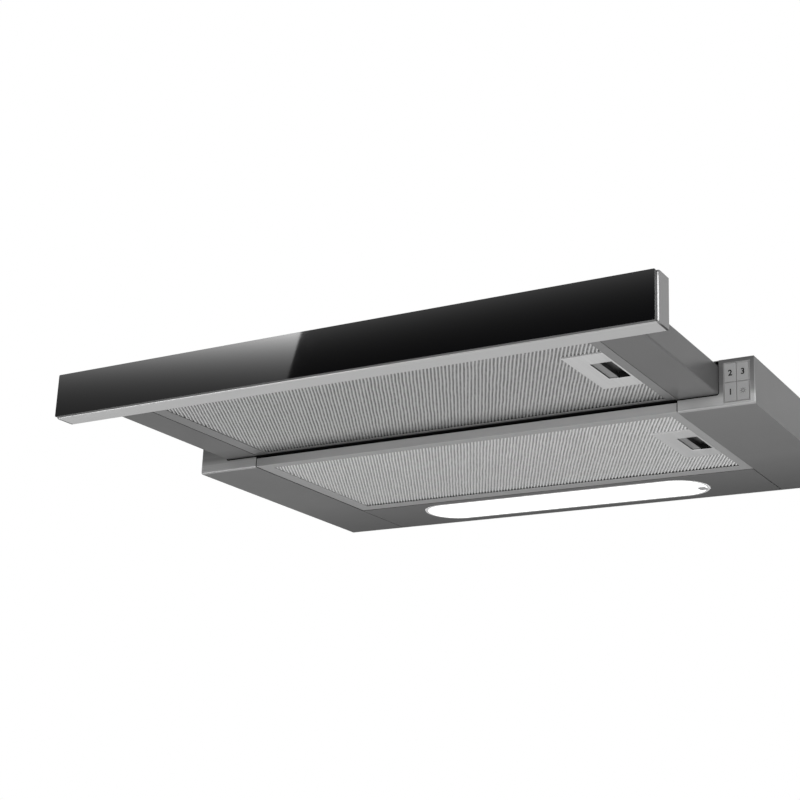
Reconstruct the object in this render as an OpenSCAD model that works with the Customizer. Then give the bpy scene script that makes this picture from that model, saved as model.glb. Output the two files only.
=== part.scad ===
// Pull out range hood for a 600 mm wide wall cabinet, with its drawer pulled out.
// X runs along the front, Y runs back into the cabinet and Z runs up.
// The origin lies on the underside, in the middle of the pulled out hood.

/* [Body] */
// Width of the body and of the front panel
hood_w = 598; // [590:1:640]
// Depth of the fixed body
body_d = 290; // [290:1:310]
// Height of the fixed body
body_h = 42.8; // [42.6:0.2:48]
// Thickness of the folded sheet metal
sheet_t = 1; // [0.8:0.1:1.1]
// Width of the upright at each end of the body
upright_w = 31.7; // [31:0.1:34]
// Width of the plain strip under each end of the body
strip_w = 70.1; // [69:0.1:74]
// Height of the low sill under the drawer
sill_h = 10.9; // [10.7:0.1:11.2]
// Thickness of the fascia pieces
fascia_t = 2.5; // [2.2:0.1:3]
// Radius of the fold along the lower front edge
fold_r = 2; // [1:0.1:2.2]
// Radius in the lower corners of the drawer slot
slot_r = 2.5; // [1:0.1:4]
// Outer radius of the bends in the drawer's sides
bend_r = 2; // [1.5:0.1:3]

/* [Front panel] */
// Height of the front panel
panel_h = 42; // [40:0.5:46]
// Thickness of the steel profile of the front panel
panel_t = 20; // [16:0.5:24]
// Wall of the steel profile
panel_wall = 1.5; // [1:0.1:2]
// Radius along the front edges of the steel profile
panel_r = 1.5; // [0.5:0.1:3]
// Thickness of the end caps
cap_t = 2; // [1.5:0.1:3]
// Thickness of the glass
glass_t = 4; // [3:0.5:5]
// Margin of steel at each end of the glass
glass_margin_x = 1.4; // [1:0.1:4]
// Margin of steel above and below the glass
glass_margin_z = 0.6; // [0.5:0.1:3]

/* [Drawer] */
// Length of the drawer's filter that stays over the body when pulled out
front_lap = 8.5; // [7:0.5:22]
// Space left between the panel and the body when pushed in
closed_gap = 1.5; // [1.4:0.1:3]
// Height of the drawer
drawer_h = 27.1; // [26.8:0.1:27.6]
// Gap between the drawer and each upright
drawer_gap = 0.7; // [0.5:0.1:1.2]
// Gap between the drawer and the sill
drawer_lift = 1.3; // [1.1:0.1:1.5]
// Depth of the body that the drawer's side members leave free
arm_spare = 25; // [20:1:35]

/* [Rails] */
// Depth of the body that the rails leave free, in front and behind together
rail_spare = 40; // [35:1:50]
// Height of the fixed rail member
rail_h = 20; // [19:0.1:21]
// Sheet thickness of the rails
rail_t = 1; // [0.8:0.1:1]
// Running gap between rail members
rail_gap = 0.3; // [0.2:0.05:0.4]

/* [Filters] */
// Depth of the lamp's strip behind the fixed filter
lamp_strip_d = 88; // [87:0.5:92]
// Height of each filter
filter_h = 8.5; // [8.3:0.1:8.9]
// Width of the frame along the front of a filter
filter_front = 11; // [8:0.5:14]
// Width of the frame along the back of a filter
filter_rear = 13.5; // [10:0.5:16]
// Width of the frame at the left end of a filter
filter_left = 14; // [10:0.5:18]
// Width of the frame at the right end of a filter
filter_right = 9; // [6:0.5:12]
// Sheet thickness of the filter frame
frame_t = 0.8; // [0.6:0.1:1]
// Spacing of the ribs in the mesh
rib_pitch = 3.12; // [3:0.02:6]
// Angle of the ribs to the front-to-back direction
rib_turn = 28.9; // [0:0.1:45]
// Depth of the ribs in the mesh
rib_h = 1.2; // [0.8:0.1:1.6]

/* [Latches] */
// Width of the latch plate
latch_w = 37.5; // [36:0.5:40]
// Length of the latch plate
latch_l = 85.5; // [82:0.5:90]
// Width of the finger pocket
pocket_w = 19.5; // [18:0.5:20]
// Length of the finger pocket
pocket_l = 41; // [36:0.5:44]
// Travel of the latch slider
latch_travel = 6.5; // [5.5:0.1:6.6]

/* [Buttons] */
// Width of the button field
bezel_w = 24.1; // [23:0.1:24.6]
// Height of the button field
bezel_h = 36.4; // [34:0.1:37]
// Gap around each button
button_gap = 0.4; // [0.3:0.05:0.6]
// Travel of each button
button_travel = 2.5; // [1.5:0.1:2.6]

/* [Lamp] */
// Length of the lamp opening
lamp_l = 332; // [280:1:340]
// Width of the lamp opening
lamp_w = 66; // [56:1:68]
// Height of the lamp housing above its panel
lamp_h = 9; // [8:0.1:9.4]

/* [Blower] */
// Space round the duct's bore in the plenum below it
plenum_margin = 3; // [1:0.5:8]
// Depth of the tower
tower_d = 187; // [184:1:188]
// Height of the tower
tower_h = 117; // [114:1:124]
// Radius of the fan
fan_r = 62; // [58:1:62]
// Height of the fan
fan_h = 47; // [42:1:50]
// Outer radius of the duct collar
collar_r = 59.5; // [58:0.5:59.5]
// Height of the duct collar above the tower
collar_h = 30; // [28:1:40]

/* [Hidden] */
$fn = 64;
// Overrun of every cut past the face it opens
over = 1;

// Places along Y
filter_d = body_d - lamp_strip_d;
pull_out = filter_d - front_lap;
open_d = glass_t + panel_t + pull_out + body_d;
y_glass = -open_d / 2;
y_panel = y_glass + glass_t;
y_drawer = y_panel + panel_t;
y_body = y_drawer + pull_out;
y_back = y_body + body_d;
y_channel = y_body + fascia_t;
travel = pull_out - closed_gap;
arm_l = body_d - arm_spare;
rail_l = body_d - rail_spare;

// Places along X at the right-hand end
x_side = hood_w / 2;
x_slot = x_side - upright_w;
x_seam = x_side - strip_w;
x_drawer = x_slot - drawer_gap;

// Places along Z
z_drawer = sill_h + drawer_lift;
z_drawer_top = z_drawer + drawer_h;
z_top = body_h - sheet_t;

// Rails inside the drawer's side members
rail_top_gap = 3.8;
rail_front_gap = 10;
rail_lip = 1.5;
bracket_flange_w = 11;
rail_web_gap = 0.6;
inner_flange_w = 10.4;
mid_flange_w = 8.9;
fixed_flange_w = 7;
x_rail_out = x_drawer - sheet_t;
x_inner_web = x_rail_out - inner_flange_w;
x_mid_web = x_inner_web - rail_web_gap - rail_t;
x_fixed_web = x_mid_web - rail_web_gap - rail_t;
z_rail_top = z_drawer_top - rail_top_gap;
z_rail = z_rail_top - rail_h;
y_rail = y_body + rail_front_gap;

// Drawer sheet work
trough_w = 19.1;
drawer_lip_w = 4.6;
drawer_flange_h = 9.8;
x_trough = x_drawer - trough_w;
rear_bar_gap = 0.5;
rear_bar_flange = 8;
y_rear_bar = y_drawer + sheet_t + filter_d + rear_bar_gap;

// Filters
filter_side_gap = 0.9;
filter_sink = 0.7;
drawer_filter_sink = 0.2;
x_filter = x_seam - filter_side_gap;
tongue_w = 14;
tongue_t = 1.2;
tongue_z = 5.6;
tongue_reach = 4.3;
tongue_share = 0.25;
tongue_slack = 0.3;
top_lip_w = 8;
y_fixed_filter = y_body;
y_drawer_filter = y_drawer + sheet_t;
z_fixed_filter = filter_sink;
z_drawer_filter = z_drawer + drawer_filter_sink;

// Latch pieces, with places counted from the filter's front right corner
latch_y = 55.5;
latch_t = 0.8;
pocket_x = 11.2;
pocket_y = latch_y + (latch_l - pocket_l) / 2;
pocket_wall = 0.8;
slider_t = 1.5;
slider_play = 0.1;
tab_share = 0.4;
bolt_w = 12;
bolt_spare = 0.8;
bolt_z = 5.6;
bolt_reach = latch_travel - sheet_t - filter_side_gap - frame_t - bolt_spare;
slider_w = pocket_l - 2 * pocket_wall;
latch_spring_r = 1.8;
latch_spring_wire = 0.25;
spring_lug_t = 2;
spring_side = 6;

// Button field
bezel_wall = 0.6;
bezel_fit = 0.1;
bezel_flange = 1.5;
bezel_flange_t = 1;
key_t = 2.2;
button_stop = 0.3;
bezel_back_y = key_t + button_travel + button_stop;
bezel_back_t = 1.5;
bezel_x = x_slot + upright_w / 2;
bezel_z = body_h / 2;
key_w = (bezel_w - 2 * bezel_wall - 3 * button_gap) / 2;
key_h = (bezel_h - 2 * bezel_wall - 3 * button_gap) / 2;
stem_r = 1.95;
stem_fit = 0.15;
stem_l = 8.8;
switch_d = 24;
switch_bore_r = 2.4;
switch_bore_d = 14;
button_spring_r = 1.7;
button_spring_wire = 0.2;

// Lamp
lamp_margin = 8.3;
lamp_lens_gap = 0.2;
lens_lip = 2;
lens_lip_t = 1.5;
lens_sink = 0.2;
lamp_wall = 1;
lamp_flange_h = 7;
lamp_front_gap = 0.5;
y_lamp_panel = y_fixed_filter + filter_d + lamp_front_gap;
y_lamp = y_lamp_panel + lamp_margin + lamp_w / 2;
led_count = 14;
led_size = 3;
led_t = 0.6;
board_w = 18;
board_t = 1;
driver_w = 26;
driver_l = 100;
driver_h = 28;
driver_y = 60;

// Tower and blower
tower_back_gap = 8.5;
tower_flange = 8;
y_fan = y_back - tower_back_gap - tower_d / 2;
z_tower_top = body_h + tower_h;
scroll_wall = 2;
scroll_gap = 0.8;
scroll_h = 64;
scroll_clearance = 5;
scroll_start = 110;
scroll_turn = 340;
scroll_step = 10;
scroll_r0 = fan_r + scroll_clearance;
scroll_r1 = tower_d / 2 - sheet_t - scroll_gap - scroll_wall;
scroll_w = scroll_r(180) + scroll_r(360) + scroll_wall;
plenum_w = 2 * (collar_r + plenum_margin);
tower_w = plenum_w + scroll_w + 2 * (sheet_t + scroll_gap + scroll_wall);
fan_x = tower_w / 2 - sheet_t - scroll_gap - scroll_wall - scroll_r(360);
plenum_x1 = fan_x - scroll_r(180) - scroll_wall;
plenum_x0 = plenum_x1 - plenum_w;
collar_x = (plenum_x0 + plenum_x1) / 2;
z_scroll = body_h + scroll_wall;
z_lid = body_h + scroll_h;
inlet_r = 48;
inlet_h = 9;
intake_r = 52;
blade_count = 28;
blade_t = 0.8;
blade_l = 11;
blade_turn = 35;
fan_plate_t = 2;
fan_ring_inner_r = 50;
fan_lift = 8;
z_fan = z_scroll + fan_lift;
blade_inset = 1;
hub_r = 12;
hub_h = 12;
shaft_r = 4;
shaft_fit = 0.05;
hub_fit = 0.02;
lid_hole_r = 10;
motor_r = 42;
motor_h = 40;
motor_end_t = 4;
rotor_r = 22;
rotor_gap = 1;
rotor_h = 26;
capacitor_r = 12;
capacitor_h = 55;
capacitor_gap = 2;
screw_r = 1.5;
screw_hole_r = 1.6;
screw_head_r = 3.2;
screw_head_h = 2;
screw_tip = 1.2;
screw_inset = 30;

// Duct collar and its flaps
collar_wall = 2;
collar_flange = 6;
collar_flange_t = 2;
duct_hole_step = 0.5;
duct_hole_r = collar_r - collar_wall - duct_hole_step;
pin_r = 1.5;
pin_fit = 0.05;
pin_grip = 1.5;
knuckle_r = 2.6;
knuckle_w = 20;
knuckle_pitch = 25;
flap_t = 1;
flap_edge = 3;
flap_gap = 0.6;
flap_rest_gap = 0.3;
flap_ledge = 3;
flap_ledge_t = 1.5;
pin_rise = 12;
z_pin = z_tower_top + pin_rise;

// Fixings and mains inlet
fixing_r = 2.75;
fixing_gap = 12;
fixing_x = tower_w / 2 + tower_flange + fixing_gap;
fixing_front = 90;
fixing_rear = 30;
terminal_w = 55;
terminal_d = 55;
terminal_h = 30;
terminal_wall = 2;
terminal_gap = 22;
terminal_x = -tower_w / 2 - tower_flange - terminal_gap - terminal_w;
terminal_back = 20;
gland_r = 8;
gland_nut_r = 11;
gland_nut_t = 5;
gland_dome_r = 9;
gland_dome_l = 9;
gland_bore_r = 3.6;
gland_fit = 0.1;
gland_z = 15;

// Small parts
reed_w = 16;
reed_d = 16;
reed_h = 7;
reed_inset = 47.5;
reed_x = reed_inset - x_trough;
reed_gap = 3;
magnet_t = 1.6;
magnet_d = 10;
bumper_r = 3.5;
bumper_gap = 0.2;
bumper_t = closed_gap - bumper_gap;
bumper_x = (x_seam + x_slot) / 2;
bumper_z = sill_h / 2;
panel_screw_z = 31;
panel_screw_tip = 4;

// Colours as they look in the photograph
steel = [0.62, 0.62, 0.63];
grey_paint = [0.45, 0.46, 0.47];
zinc = [0.7, 0.71, 0.72];
alu = [0.68, 0.69, 0.7];
glass_black = [0.05, 0.05, 0.06];
plastic_grey = [0.5, 0.51, 0.52];
plastic_black = [0.12, 0.12, 0.13];
lens_white = [0.97, 0.97, 0.95];
spring_steel = [0.75, 0.75, 0.76];
board_white = [0.9, 0.9, 0.88];

// Radius of the scroll at an angle, growing evenly from its tongue
function scroll_r(a) =
    scroll_r0 + (scroll_r1 - scroll_r0) * ((a < scroll_start ? a + 360 : a) - scroll_start) / scroll_turn;

// A box between two corners
module block(low, high) {
    translate(low) cube(high - low);
}

// A rectangle between two corners
module area(low, high) {
    translate(low) square(high - low);
}

// An outline in X and Z, carried back along Y
module along_y(y, length) {
    translate([0, y + length, 0]) rotate([90, 0, 0]) linear_extrude(length) children();
}

// An outline in Y and Z, carried along X
module along_x(x, length) {
    translate([x, 0, 0]) rotate([90, 0, 90]) linear_extrude(length) children();
}

// The same shape at the left-hand end
module left() {
    mirror([1, 0, 0]) children();
}

// A round bar along Y
module bar_y(r, length) {
    rotate([-90, 0, 0]) cylinder(r = r, h = length);
}

// A round bar along X
module bar_x(r, length) {
    rotate([0, 90, 0]) cylinder(r = r, h = length);
}

// A coil spring along Z as one unbroken tube of wire
module coil(r, wire, length, turns) {
    sides = 6;
    rings = 8 * turns;
    rise = length - 2 * wire;
    mid_r = r - wire;
    points = [
        for (i = [0 : rings], j = [0 : sides - 1])
            let (a = 360 * turns * i / rings, b = 360 * j / sides, rr = mid_r + wire * cos(b))
                [rr * cos(a), rr * sin(a), wire + rise * i / rings + wire * sin(b)]
    ];
    skin = [
        for (i = [0 : rings - 1], j = [0 : sides - 1])
            let (k = (j + 1) % sides, p = i * sides, q = p + sides)
                each [[p + j, q + j, p + k], [p + k, q + j, q + k]]
    ];
    first_end = [[for (j = [0 : sides - 1]) j]];
    last_end = [[for (j = [sides - 1 : -1 : 0]) rings * sides + j]];
    polyhedron(points, concat(skin, first_end, last_end));
}

// Slots in a seam flange for the two tongues of a filter
module tongue_slots(y, z) {
    for (share = [tongue_share, 1 - tongue_share])
        block(
            [x_seam - over, y + filter_d * share - tongue_w / 2 - tongue_slack, z + tongue_z - tongue_slack],
            [x_seam + sheet_t + over, y + filter_d * share + tongue_w / 2 + tongue_slack,
                z + tongue_z + tongue_t + tongue_slack]
        );
}

// Slot in a seam flange for the bolt of a latch
module bolt_slot(y, z) {
    mid = y + pocket_y + pocket_l / 2;
    block(
        [x_seam - over, mid - bolt_w / 2 - tongue_slack, z + bolt_z - tongue_slack],
        [x_seam + sheet_t + over, mid + bolt_w / 2 + tongue_slack, z + bolt_z + slider_t + tongue_slack]
    );
}

// Closed sheet channel at the right-hand end of the body
module side_channel() {
    along_y(y_channel, y_back - sheet_t - y_channel)
        difference() {
            union() {
                area([x_slot, 0], [x_side, body_h]);
                area([x_seam, 0], [x_side, sill_h]);
            }
            area([x_slot + sheet_t, sheet_t], [x_side - sheet_t, body_h - sheet_t]);
            area([x_seam + sheet_t, sheet_t], [x_side - sheet_t, sill_h - sheet_t]);
        }
}

module side_channel_left() {
    color(grey_paint) left() difference() {
        side_channel();
        tongue_slots(y_fixed_filter, z_fixed_filter);
    }
}

module side_channel_right() {
    color(grey_paint) difference() {
        side_channel();
        bolt_slot(y_fixed_filter, z_fixed_filter);
    }
}

// Front face of the body at its right-hand end, an L round the drawer slot
module fascia() {
    difference() {
        along_y(y_body, fascia_t) union() {
            area([x_slot, 0], [x_side, body_h]);
            area([x_seam, 0], [x_side, sill_h]);
            difference() {
                area([x_slot - slot_r, sill_h], [x_slot, sill_h + slot_r]);
                translate([x_slot - slot_r, sill_h + slot_r]) circle(slot_r);
            }
        }
        along_x(x_seam - over, strip_w + 2 * over) difference() {
            area([y_body - over, -over], [y_body + fold_r, fold_r]);
            translate([y_body + fold_r, fold_r]) circle(fold_r);
        }
    }
}

module fascia_left() {
    color(steel) left() fascia();
}

module fascia_right() {
    window_w = bezel_w + 2 * bezel_fit;
    window_h = bezel_h + 2 * bezel_fit;
    color(steel) difference() {
        fascia();
        block(
            [bezel_x - window_w / 2, y_body - over, bezel_z - window_h / 2],
            [bezel_x + window_w / 2, y_channel + over, bezel_z + window_h / 2]
        );
    }
}

// Places of the screws that hold the tower down
module at_tower_screws() {
    reach_x = (tower_w + tower_flange) / 2;
    reach_y = (tower_d + tower_flange) / 2;
    for (sx = [-1, 1], sy = [-1, 1])
        translate([sx * reach_x, y_fan + sy * (tower_d / 2 - screw_inset), 0]) children();
    for (sx = [-1, 1])
        translate([sx * (tower_w / 2 - screw_inset), y_fan - reach_y, 0]) children();
}

// Places of the holes for the cabinet screws
module at_fixings() {
    for (x = [-fixing_x, fixing_x], y = [y_body + fixing_front, y_back - fixing_rear])
        translate([x, y, 0]) children();
}

module top_plate() {
    color(zinc) difference() {
        block([-x_slot, y_body, z_top], [x_slot, y_back - sheet_t, body_h]);
        translate([fan_x, y_fan, z_top - over]) cylinder(r = intake_r, h = sheet_t + 2 * over);
        at_tower_screws() translate([0, 0, z_top - over])
            cylinder(r = screw_hole_r, h = sheet_t + 2 * over);
        at_fixings() translate([0, 0, z_top - over]) cylinder(r = fixing_r, h = sheet_t + 2 * over);
    }
}

module back_wall() {
    color(zinc) block([-x_side, y_back - sheet_t, 0], [x_side, y_back, body_h]);
}

// Hanger that carries the fixed rail from the top plate
module rail_bracket() {
    along_y(y_rail, rail_l) union() {
        area([x_fixed_web - sheet_t, z_rail], [x_fixed_web, z_top]);
        area([x_fixed_web - sheet_t, z_top - sheet_t], [x_fixed_web - sheet_t + bracket_flange_w, z_top]);
    }
}

module rail_brackets() {
    color(zinc) {
        rail_bracket();
        left() rail_bracket();
    }
}

// Outline of a rail member, a channel with inturned lips that opens outward
module rail_outline(x, z0, z1, w) {
    area([x, z0], [x + rail_t, z1]);
    for (z = [z0, z1 - rail_t]) area([x, z], [x + w, z + rail_t]);
}

module fixed_rail() {
    along_y(y_rail, rail_l) union() {
        rail_outline(x_fixed_web, z_rail, z_rail_top, fixed_flange_w);
        area([x_fixed_web + fixed_flange_w - rail_t, z_rail],
            [x_fixed_web + fixed_flange_w, z_rail + rail_t + rail_lip]);
        area([x_fixed_web + fixed_flange_w - rail_t, z_rail_top - rail_t - rail_lip],
            [x_fixed_web + fixed_flange_w, z_rail_top]);
    }
}

module rails_fixed() {
    color(spring_steel) {
        fixed_rail();
        left() fixed_rail();
    }
}

// Middle rail member, halfway between the fixed one and the drawer's
module mid_rail() {
    ear_z0 = z_rail + rail_t + rail_gap;
    ear_z1 = z_rail_top - rail_t - rail_gap;
    z0 = ear_z0 + rail_lip;
    z1 = ear_z1 - rail_lip;
    along_y(y_rail - travel / 2, rail_l) union() {
        area([x_mid_web, ear_z0], [x_mid_web + rail_t, ear_z1]);
        rail_outline(x_mid_web, z0, z1, mid_flange_w);
        area([x_mid_web + mid_flange_w - rail_t, z0], [x_mid_web + mid_flange_w, z0 + rail_t + rail_lip]);
        area([x_mid_web + mid_flange_w - rail_t, z1 - rail_t - rail_lip], [x_mid_web + mid_flange_w, z1]);
    }
}

module rail_mid_left() {
    color(spring_steel) left() mid_rail();
}

module rail_mid_right() {
    color(spring_steel) mid_rail();
}

// Rail member on the drawer, a closed box with a wide inner web
module inner_rail() {
    ear_z0 = z_rail + 2 * rail_t + 2 * rail_gap + rail_lip;
    ear_z1 = z_rail_top - 2 * rail_t - 2 * rail_gap - rail_lip;
    z0 = ear_z0 + rail_lip;
    z1 = ear_z1 - rail_lip;
    along_y(y_rail - travel, rail_l) union() {
        area([x_inner_web, ear_z0], [x_inner_web + rail_t, ear_z1]);
        rail_outline(x_inner_web, z0, z1, inner_flange_w);
        area([x_rail_out - rail_t, z0], [x_rail_out, z1]);
    }
}

module rails_inner() {
    color(spring_steel) {
        inner_rail();
        left() inner_rail();
    }
}

// Folded frame of a grease filter, with two tongues at its left end
module filter_frame(y, z) {
    translate([0, y, z]) {
        difference() {
            block([-x_filter, 0, 0], [x_filter, filter_d, filter_h]);
            block([-x_filter + frame_t, frame_t, frame_t],
                [x_filter - frame_t, filter_d - frame_t, filter_h - frame_t]);
            block([-x_filter + filter_left, filter_front, -over],
                [x_filter - filter_right, filter_d - filter_rear, filter_h / 2]);
            block([-x_filter + top_lip_w, top_lip_w, filter_h / 2],
                [x_filter - top_lip_w, filter_d - top_lip_w, filter_h + over]);
            bolt_y = pocket_y + pocket_l / 2;
            block([x_filter - frame_t - over, bolt_y - bolt_w / 2 - tongue_slack, bolt_z - tongue_slack],
                [x_filter + over, bolt_y + bolt_w / 2 + tongue_slack, bolt_z + slider_t + tongue_slack]);
        }
        for (share = [tongue_share, 1 - tongue_share])
            block([-x_filter - tongue_reach, filter_d * share - tongue_w / 2, tongue_z],
                [-x_filter + frame_t, filter_d * share + tongue_w / 2, tongue_z + tongue_t]);
    }
}

// Grooves between the ribs of a mesh pack, as one long cutter turned over its window
module rib_grooves(x0, x1, z0) {
    reach = (x1 - x0 + filter_d) / 2;
    ribs = ceil(reach / rib_pitch);
    waves = [for (i = [-ribs : ribs]) each [
        [i * rib_pitch, z0],
        [(i + 1 / 2) * rib_pitch, z0 + rib_h]
    ]];
    end = (ribs + 1) * rib_pitch;
    translate([(x0 + x1) / 2, filter_d / 2, 0]) rotate([0, 0, rib_turn]) along_y(-reach, 2 * reach)
        polygon(concat([[-ribs * rib_pitch, z0 - over]], waves, [[end, z0], [end, z0 - over]]));
}

// Ribbed mesh pack of a grease filter, with ribs that lean to the left towards the back
module filter_mesh(y, z) {
    rib_x0 = -x_filter + filter_left;
    rib_x1 = x_filter - filter_right;
    y1 = filter_d - frame_t;
    translate([0, y, z]) difference() {
        block([-x_filter + frame_t, frame_t, frame_t], [x_filter - frame_t, y1, filter_h - frame_t]);
        intersection() {
            rib_grooves(rib_x0, rib_x1, frame_t);
            block([rib_x0, frame_t - over, frame_t - over], [rib_x1, y1 + over, filter_h]);
        }
        block([x_filter - filter_right - latch_w, latch_y, -over],
            [x_filter + over, latch_y + latch_l, filter_h + over]);
    }
}

// Plate and box that hold a latch slider, with the finger pocket
module latch_housing(y, z) {
    x1 = x_filter - filter_right;
    x0 = x1 - latch_w;
    pocket_x1 = x_filter - pocket_x;
    pocket_x0 = pocket_x1 - pocket_w;
    top = filter_h - frame_t;
    ledge_z = bolt_z - slider_play;
    mid = pocket_y + pocket_l / 2;
    translate([0, y, z]) difference() {
        block([x0, latch_y, 0], [x1, latch_y + latch_l, top]);
        // Room for the slider plate, above the pocket
        block([x0 + pocket_wall, pocket_y - spring_side - pocket_wall, ledge_z],
            [x1 - pocket_wall, pocket_y + pocket_l + pocket_wall, bolt_z + slider_t + slider_play]);
        // Room for the tab and for the spring beside it
        block([x0 + pocket_wall, pocket_y - spring_side, latch_t],
            [pocket_x1, pocket_y + pocket_l, ledge_z + over]);
        // The open pocket
        block([pocket_x0, pocket_y, -over], [pocket_x1, pocket_y + pocket_l, bolt_z]);
        // The way out for the bolt
        block([pocket_x1, mid - bolt_w / 2 - tongue_slack, ledge_z],
            [x1 + over, mid + bolt_w / 2 + tongue_slack, bolt_z + slider_t + slider_play]);
    }
}

// Slider with a finger tab at its left and the bolt at its right
module latch_slider(y, z) {
    pocket_x1 = x_filter - pocket_x;
    pocket_x0 = pocket_x1 - pocket_w;
    tab_x1 = pocket_x0 + pocket_w * tab_share;
    x0 = pocket_x0 - pocket_wall;
    bolt_x1 = x_seam + sheet_t + bolt_reach;
    mid = pocket_y + pocket_l / 2;
    lug_y0 = pocket_y - spring_side + tongue_slack;
    plate_y0 = pocket_y - spring_side - pocket_wall + slider_play;
    plate_y1 = pocket_y + pocket_l + pocket_wall - slider_play;
    translate([0, y, z]) {
        block([x0, plate_y0, bolt_z], [pocket_x1 - pocket_wall, plate_y1, bolt_z + slider_t]);
        block([pocket_x1 - pocket_wall, mid - bolt_w / 2, bolt_z],
            [bolt_x1, mid + bolt_w / 2, bolt_z + slider_t]);
        block([pocket_x0, mid - slider_w / 2, latch_t + tongue_slack],
            [tab_x1, mid + slider_w / 2, bolt_z]);
        block([tab_x1 - spring_lug_t, lug_y0, latch_t + tongue_slack], [tab_x1, mid, bolt_z]);
    }
}

// Spring that pushes a latch slider to the right
module latch_spring(y, z) {
    pocket_x0 = x_filter - pocket_x - pocket_w;
    x0 = x_filter - filter_right - latch_w + pocket_wall;
    x1 = pocket_x0 + pocket_w * tab_share - spring_lug_t;
    translate([x0, y + pocket_y - spring_side / 2, z + latch_t + (bolt_z - latch_t) / 2])
        rotate([0, 90, 0]) coil(latch_spring_r, latch_spring_wire, x1 - x0, 7);
}

module fixed_filter_frame() {
    color(alu) filter_frame(y_fixed_filter, z_fixed_filter);
}

module fixed_filter_mesh() {
    color(alu) filter_mesh(y_fixed_filter, z_fixed_filter);
}

module fixed_latch_housing() {
    color(zinc) latch_housing(y_fixed_filter, z_fixed_filter);
}

module fixed_latch_slider() {
    color(zinc) latch_slider(y_fixed_filter, z_fixed_filter);
}

module fixed_latch_spring() {
    color(spring_steel) latch_spring(y_fixed_filter, z_fixed_filter);
}

module drawer_filter_frame() {
    color(alu) filter_frame(y_drawer_filter, z_drawer_filter);
}

module drawer_filter_mesh() {
    color(alu) filter_mesh(y_drawer_filter, z_drawer_filter);
}

module drawer_latch_housing() {
    color(zinc) latch_housing(y_drawer_filter, z_drawer_filter);
}

module drawer_latch_slider() {
    color(zinc) latch_slider(y_drawer_filter, z_drawer_filter);
}

module drawer_latch_spring() {
    color(spring_steel) latch_spring(y_drawer_filter, z_drawer_filter);
}

// A long shape with round ends, centred on the lamp
module lamp_shape(grow, h) {
    end_x = (lamp_l - lamp_w) / 2;
    r = lamp_w / 2 + grow;
    translate([0, y_lamp, 0]) {
        for (side = [-1, 1]) translate([side * end_x, 0, 0]) cylinder(r = r, h = h);
        translate([-end_x, -r, 0]) cube([2 * end_x, 2 * r, h]);
    }
}

module lamp_panel() {
    color(grey_paint) {
        difference() {
            block([-x_filter, y_lamp_panel, 0], [x_filter, y_back - sheet_t, sheet_t]);
            translate([0, 0, -over]) lamp_shape(0, sheet_t + 2 * over);
        }
        block([-x_filter, y_lamp_panel, sheet_t],
            [x_filter, y_lamp_panel + sheet_t, sheet_t + lamp_flange_h]);
    }
}

module lamp_lens() {
    color(lens_white) {
        translate([0, 0, lens_sink]) lamp_shape(-lamp_lens_gap, sheet_t + lens_lip_t - lens_sink);
        translate([0, 0, sheet_t]) lamp_shape(lens_lip, lens_lip_t);
    }
}

module lamp_housing() {
    inner_x = lamp_l / 2 + lens_lip + lamp_wall;
    inner_y = lamp_w / 2 + lens_lip + lamp_wall;
    color(plastic_grey) difference() {
        block([-inner_x - lamp_wall, y_lamp - inner_y - lamp_wall, sheet_t],
            [inner_x + lamp_wall, y_lamp + inner_y + lamp_wall, sheet_t + lamp_h]);
        block([-inner_x, y_lamp - inner_y, sheet_t - over],
            [inner_x, y_lamp + inner_y, sheet_t + lamp_h - lamp_wall]);
    }
}

module led_board() {
    z = sheet_t + lamp_h - lamp_wall;
    pitch = (lamp_l - lamp_w) / (led_count - 1);
    color(board_white) {
        block([-lamp_l / 2 + lens_lip, y_lamp - board_w / 2, z - board_t],
            [lamp_l / 2 - lens_lip, y_lamp + board_w / 2, z]);
        for (i = [0 : led_count - 1])
            let (x = (i - (led_count - 1) / 2) * pitch)
                block([x - led_size / 2, y_lamp - led_size / 2, z - board_t - led_t],
                    [x + led_size / 2, y_lamp + led_size / 2, z - board_t]);
    }
}

module lamp_driver() {
    x = -x_slot - upright_w / 2;
    color(plastic_black) block([x - driver_w / 2, y_body + driver_y, sheet_t],
        [x + driver_w / 2, y_body + driver_y + driver_l, sheet_t + driver_h]);
}

module tower_casing() {
    color(zinc) difference() {
        union() {
            block([-tower_w / 2, y_fan - tower_d / 2, body_h],
                [tower_w / 2, y_fan + tower_d / 2, z_tower_top - sheet_t]);
            block([-tower_w / 2 - tower_flange, y_fan - tower_d / 2 - tower_flange, body_h],
                [tower_w / 2 + tower_flange, y_fan + tower_d / 2 + tower_flange, body_h + sheet_t]);
        }
        block([-tower_w / 2 + sheet_t, y_fan - tower_d / 2 + sheet_t, body_h - over],
            [tower_w / 2 - sheet_t, y_fan + tower_d / 2 - sheet_t, z_tower_top]);
        at_tower_screws() translate([0, 0, body_h - over])
            cylinder(r = screw_hole_r, h = sheet_t + 2 * over);
    }
}

module tower_lid() {
    color(zinc) difference() {
        block([-tower_w / 2, y_fan - tower_d / 2, z_tower_top - sheet_t],
            [tower_w / 2, y_fan + tower_d / 2, z_tower_top]);
        translate([collar_x, y_fan, z_tower_top - sheet_t - over])
            cylinder(r = duct_hole_r, h = sheet_t + 2 * over);
    }
}

module tower_screws() {
    color(spring_steel) at_tower_screws() {
        translate([0, 0, body_h + sheet_t]) cylinder(r = screw_head_r, h = screw_head_h);
        translate([0, 0, z_top - screw_tip])
            cylinder(r = screw_r, h = 2 * sheet_t + screw_tip + screw_head_h / 2);
    }
}

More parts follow.
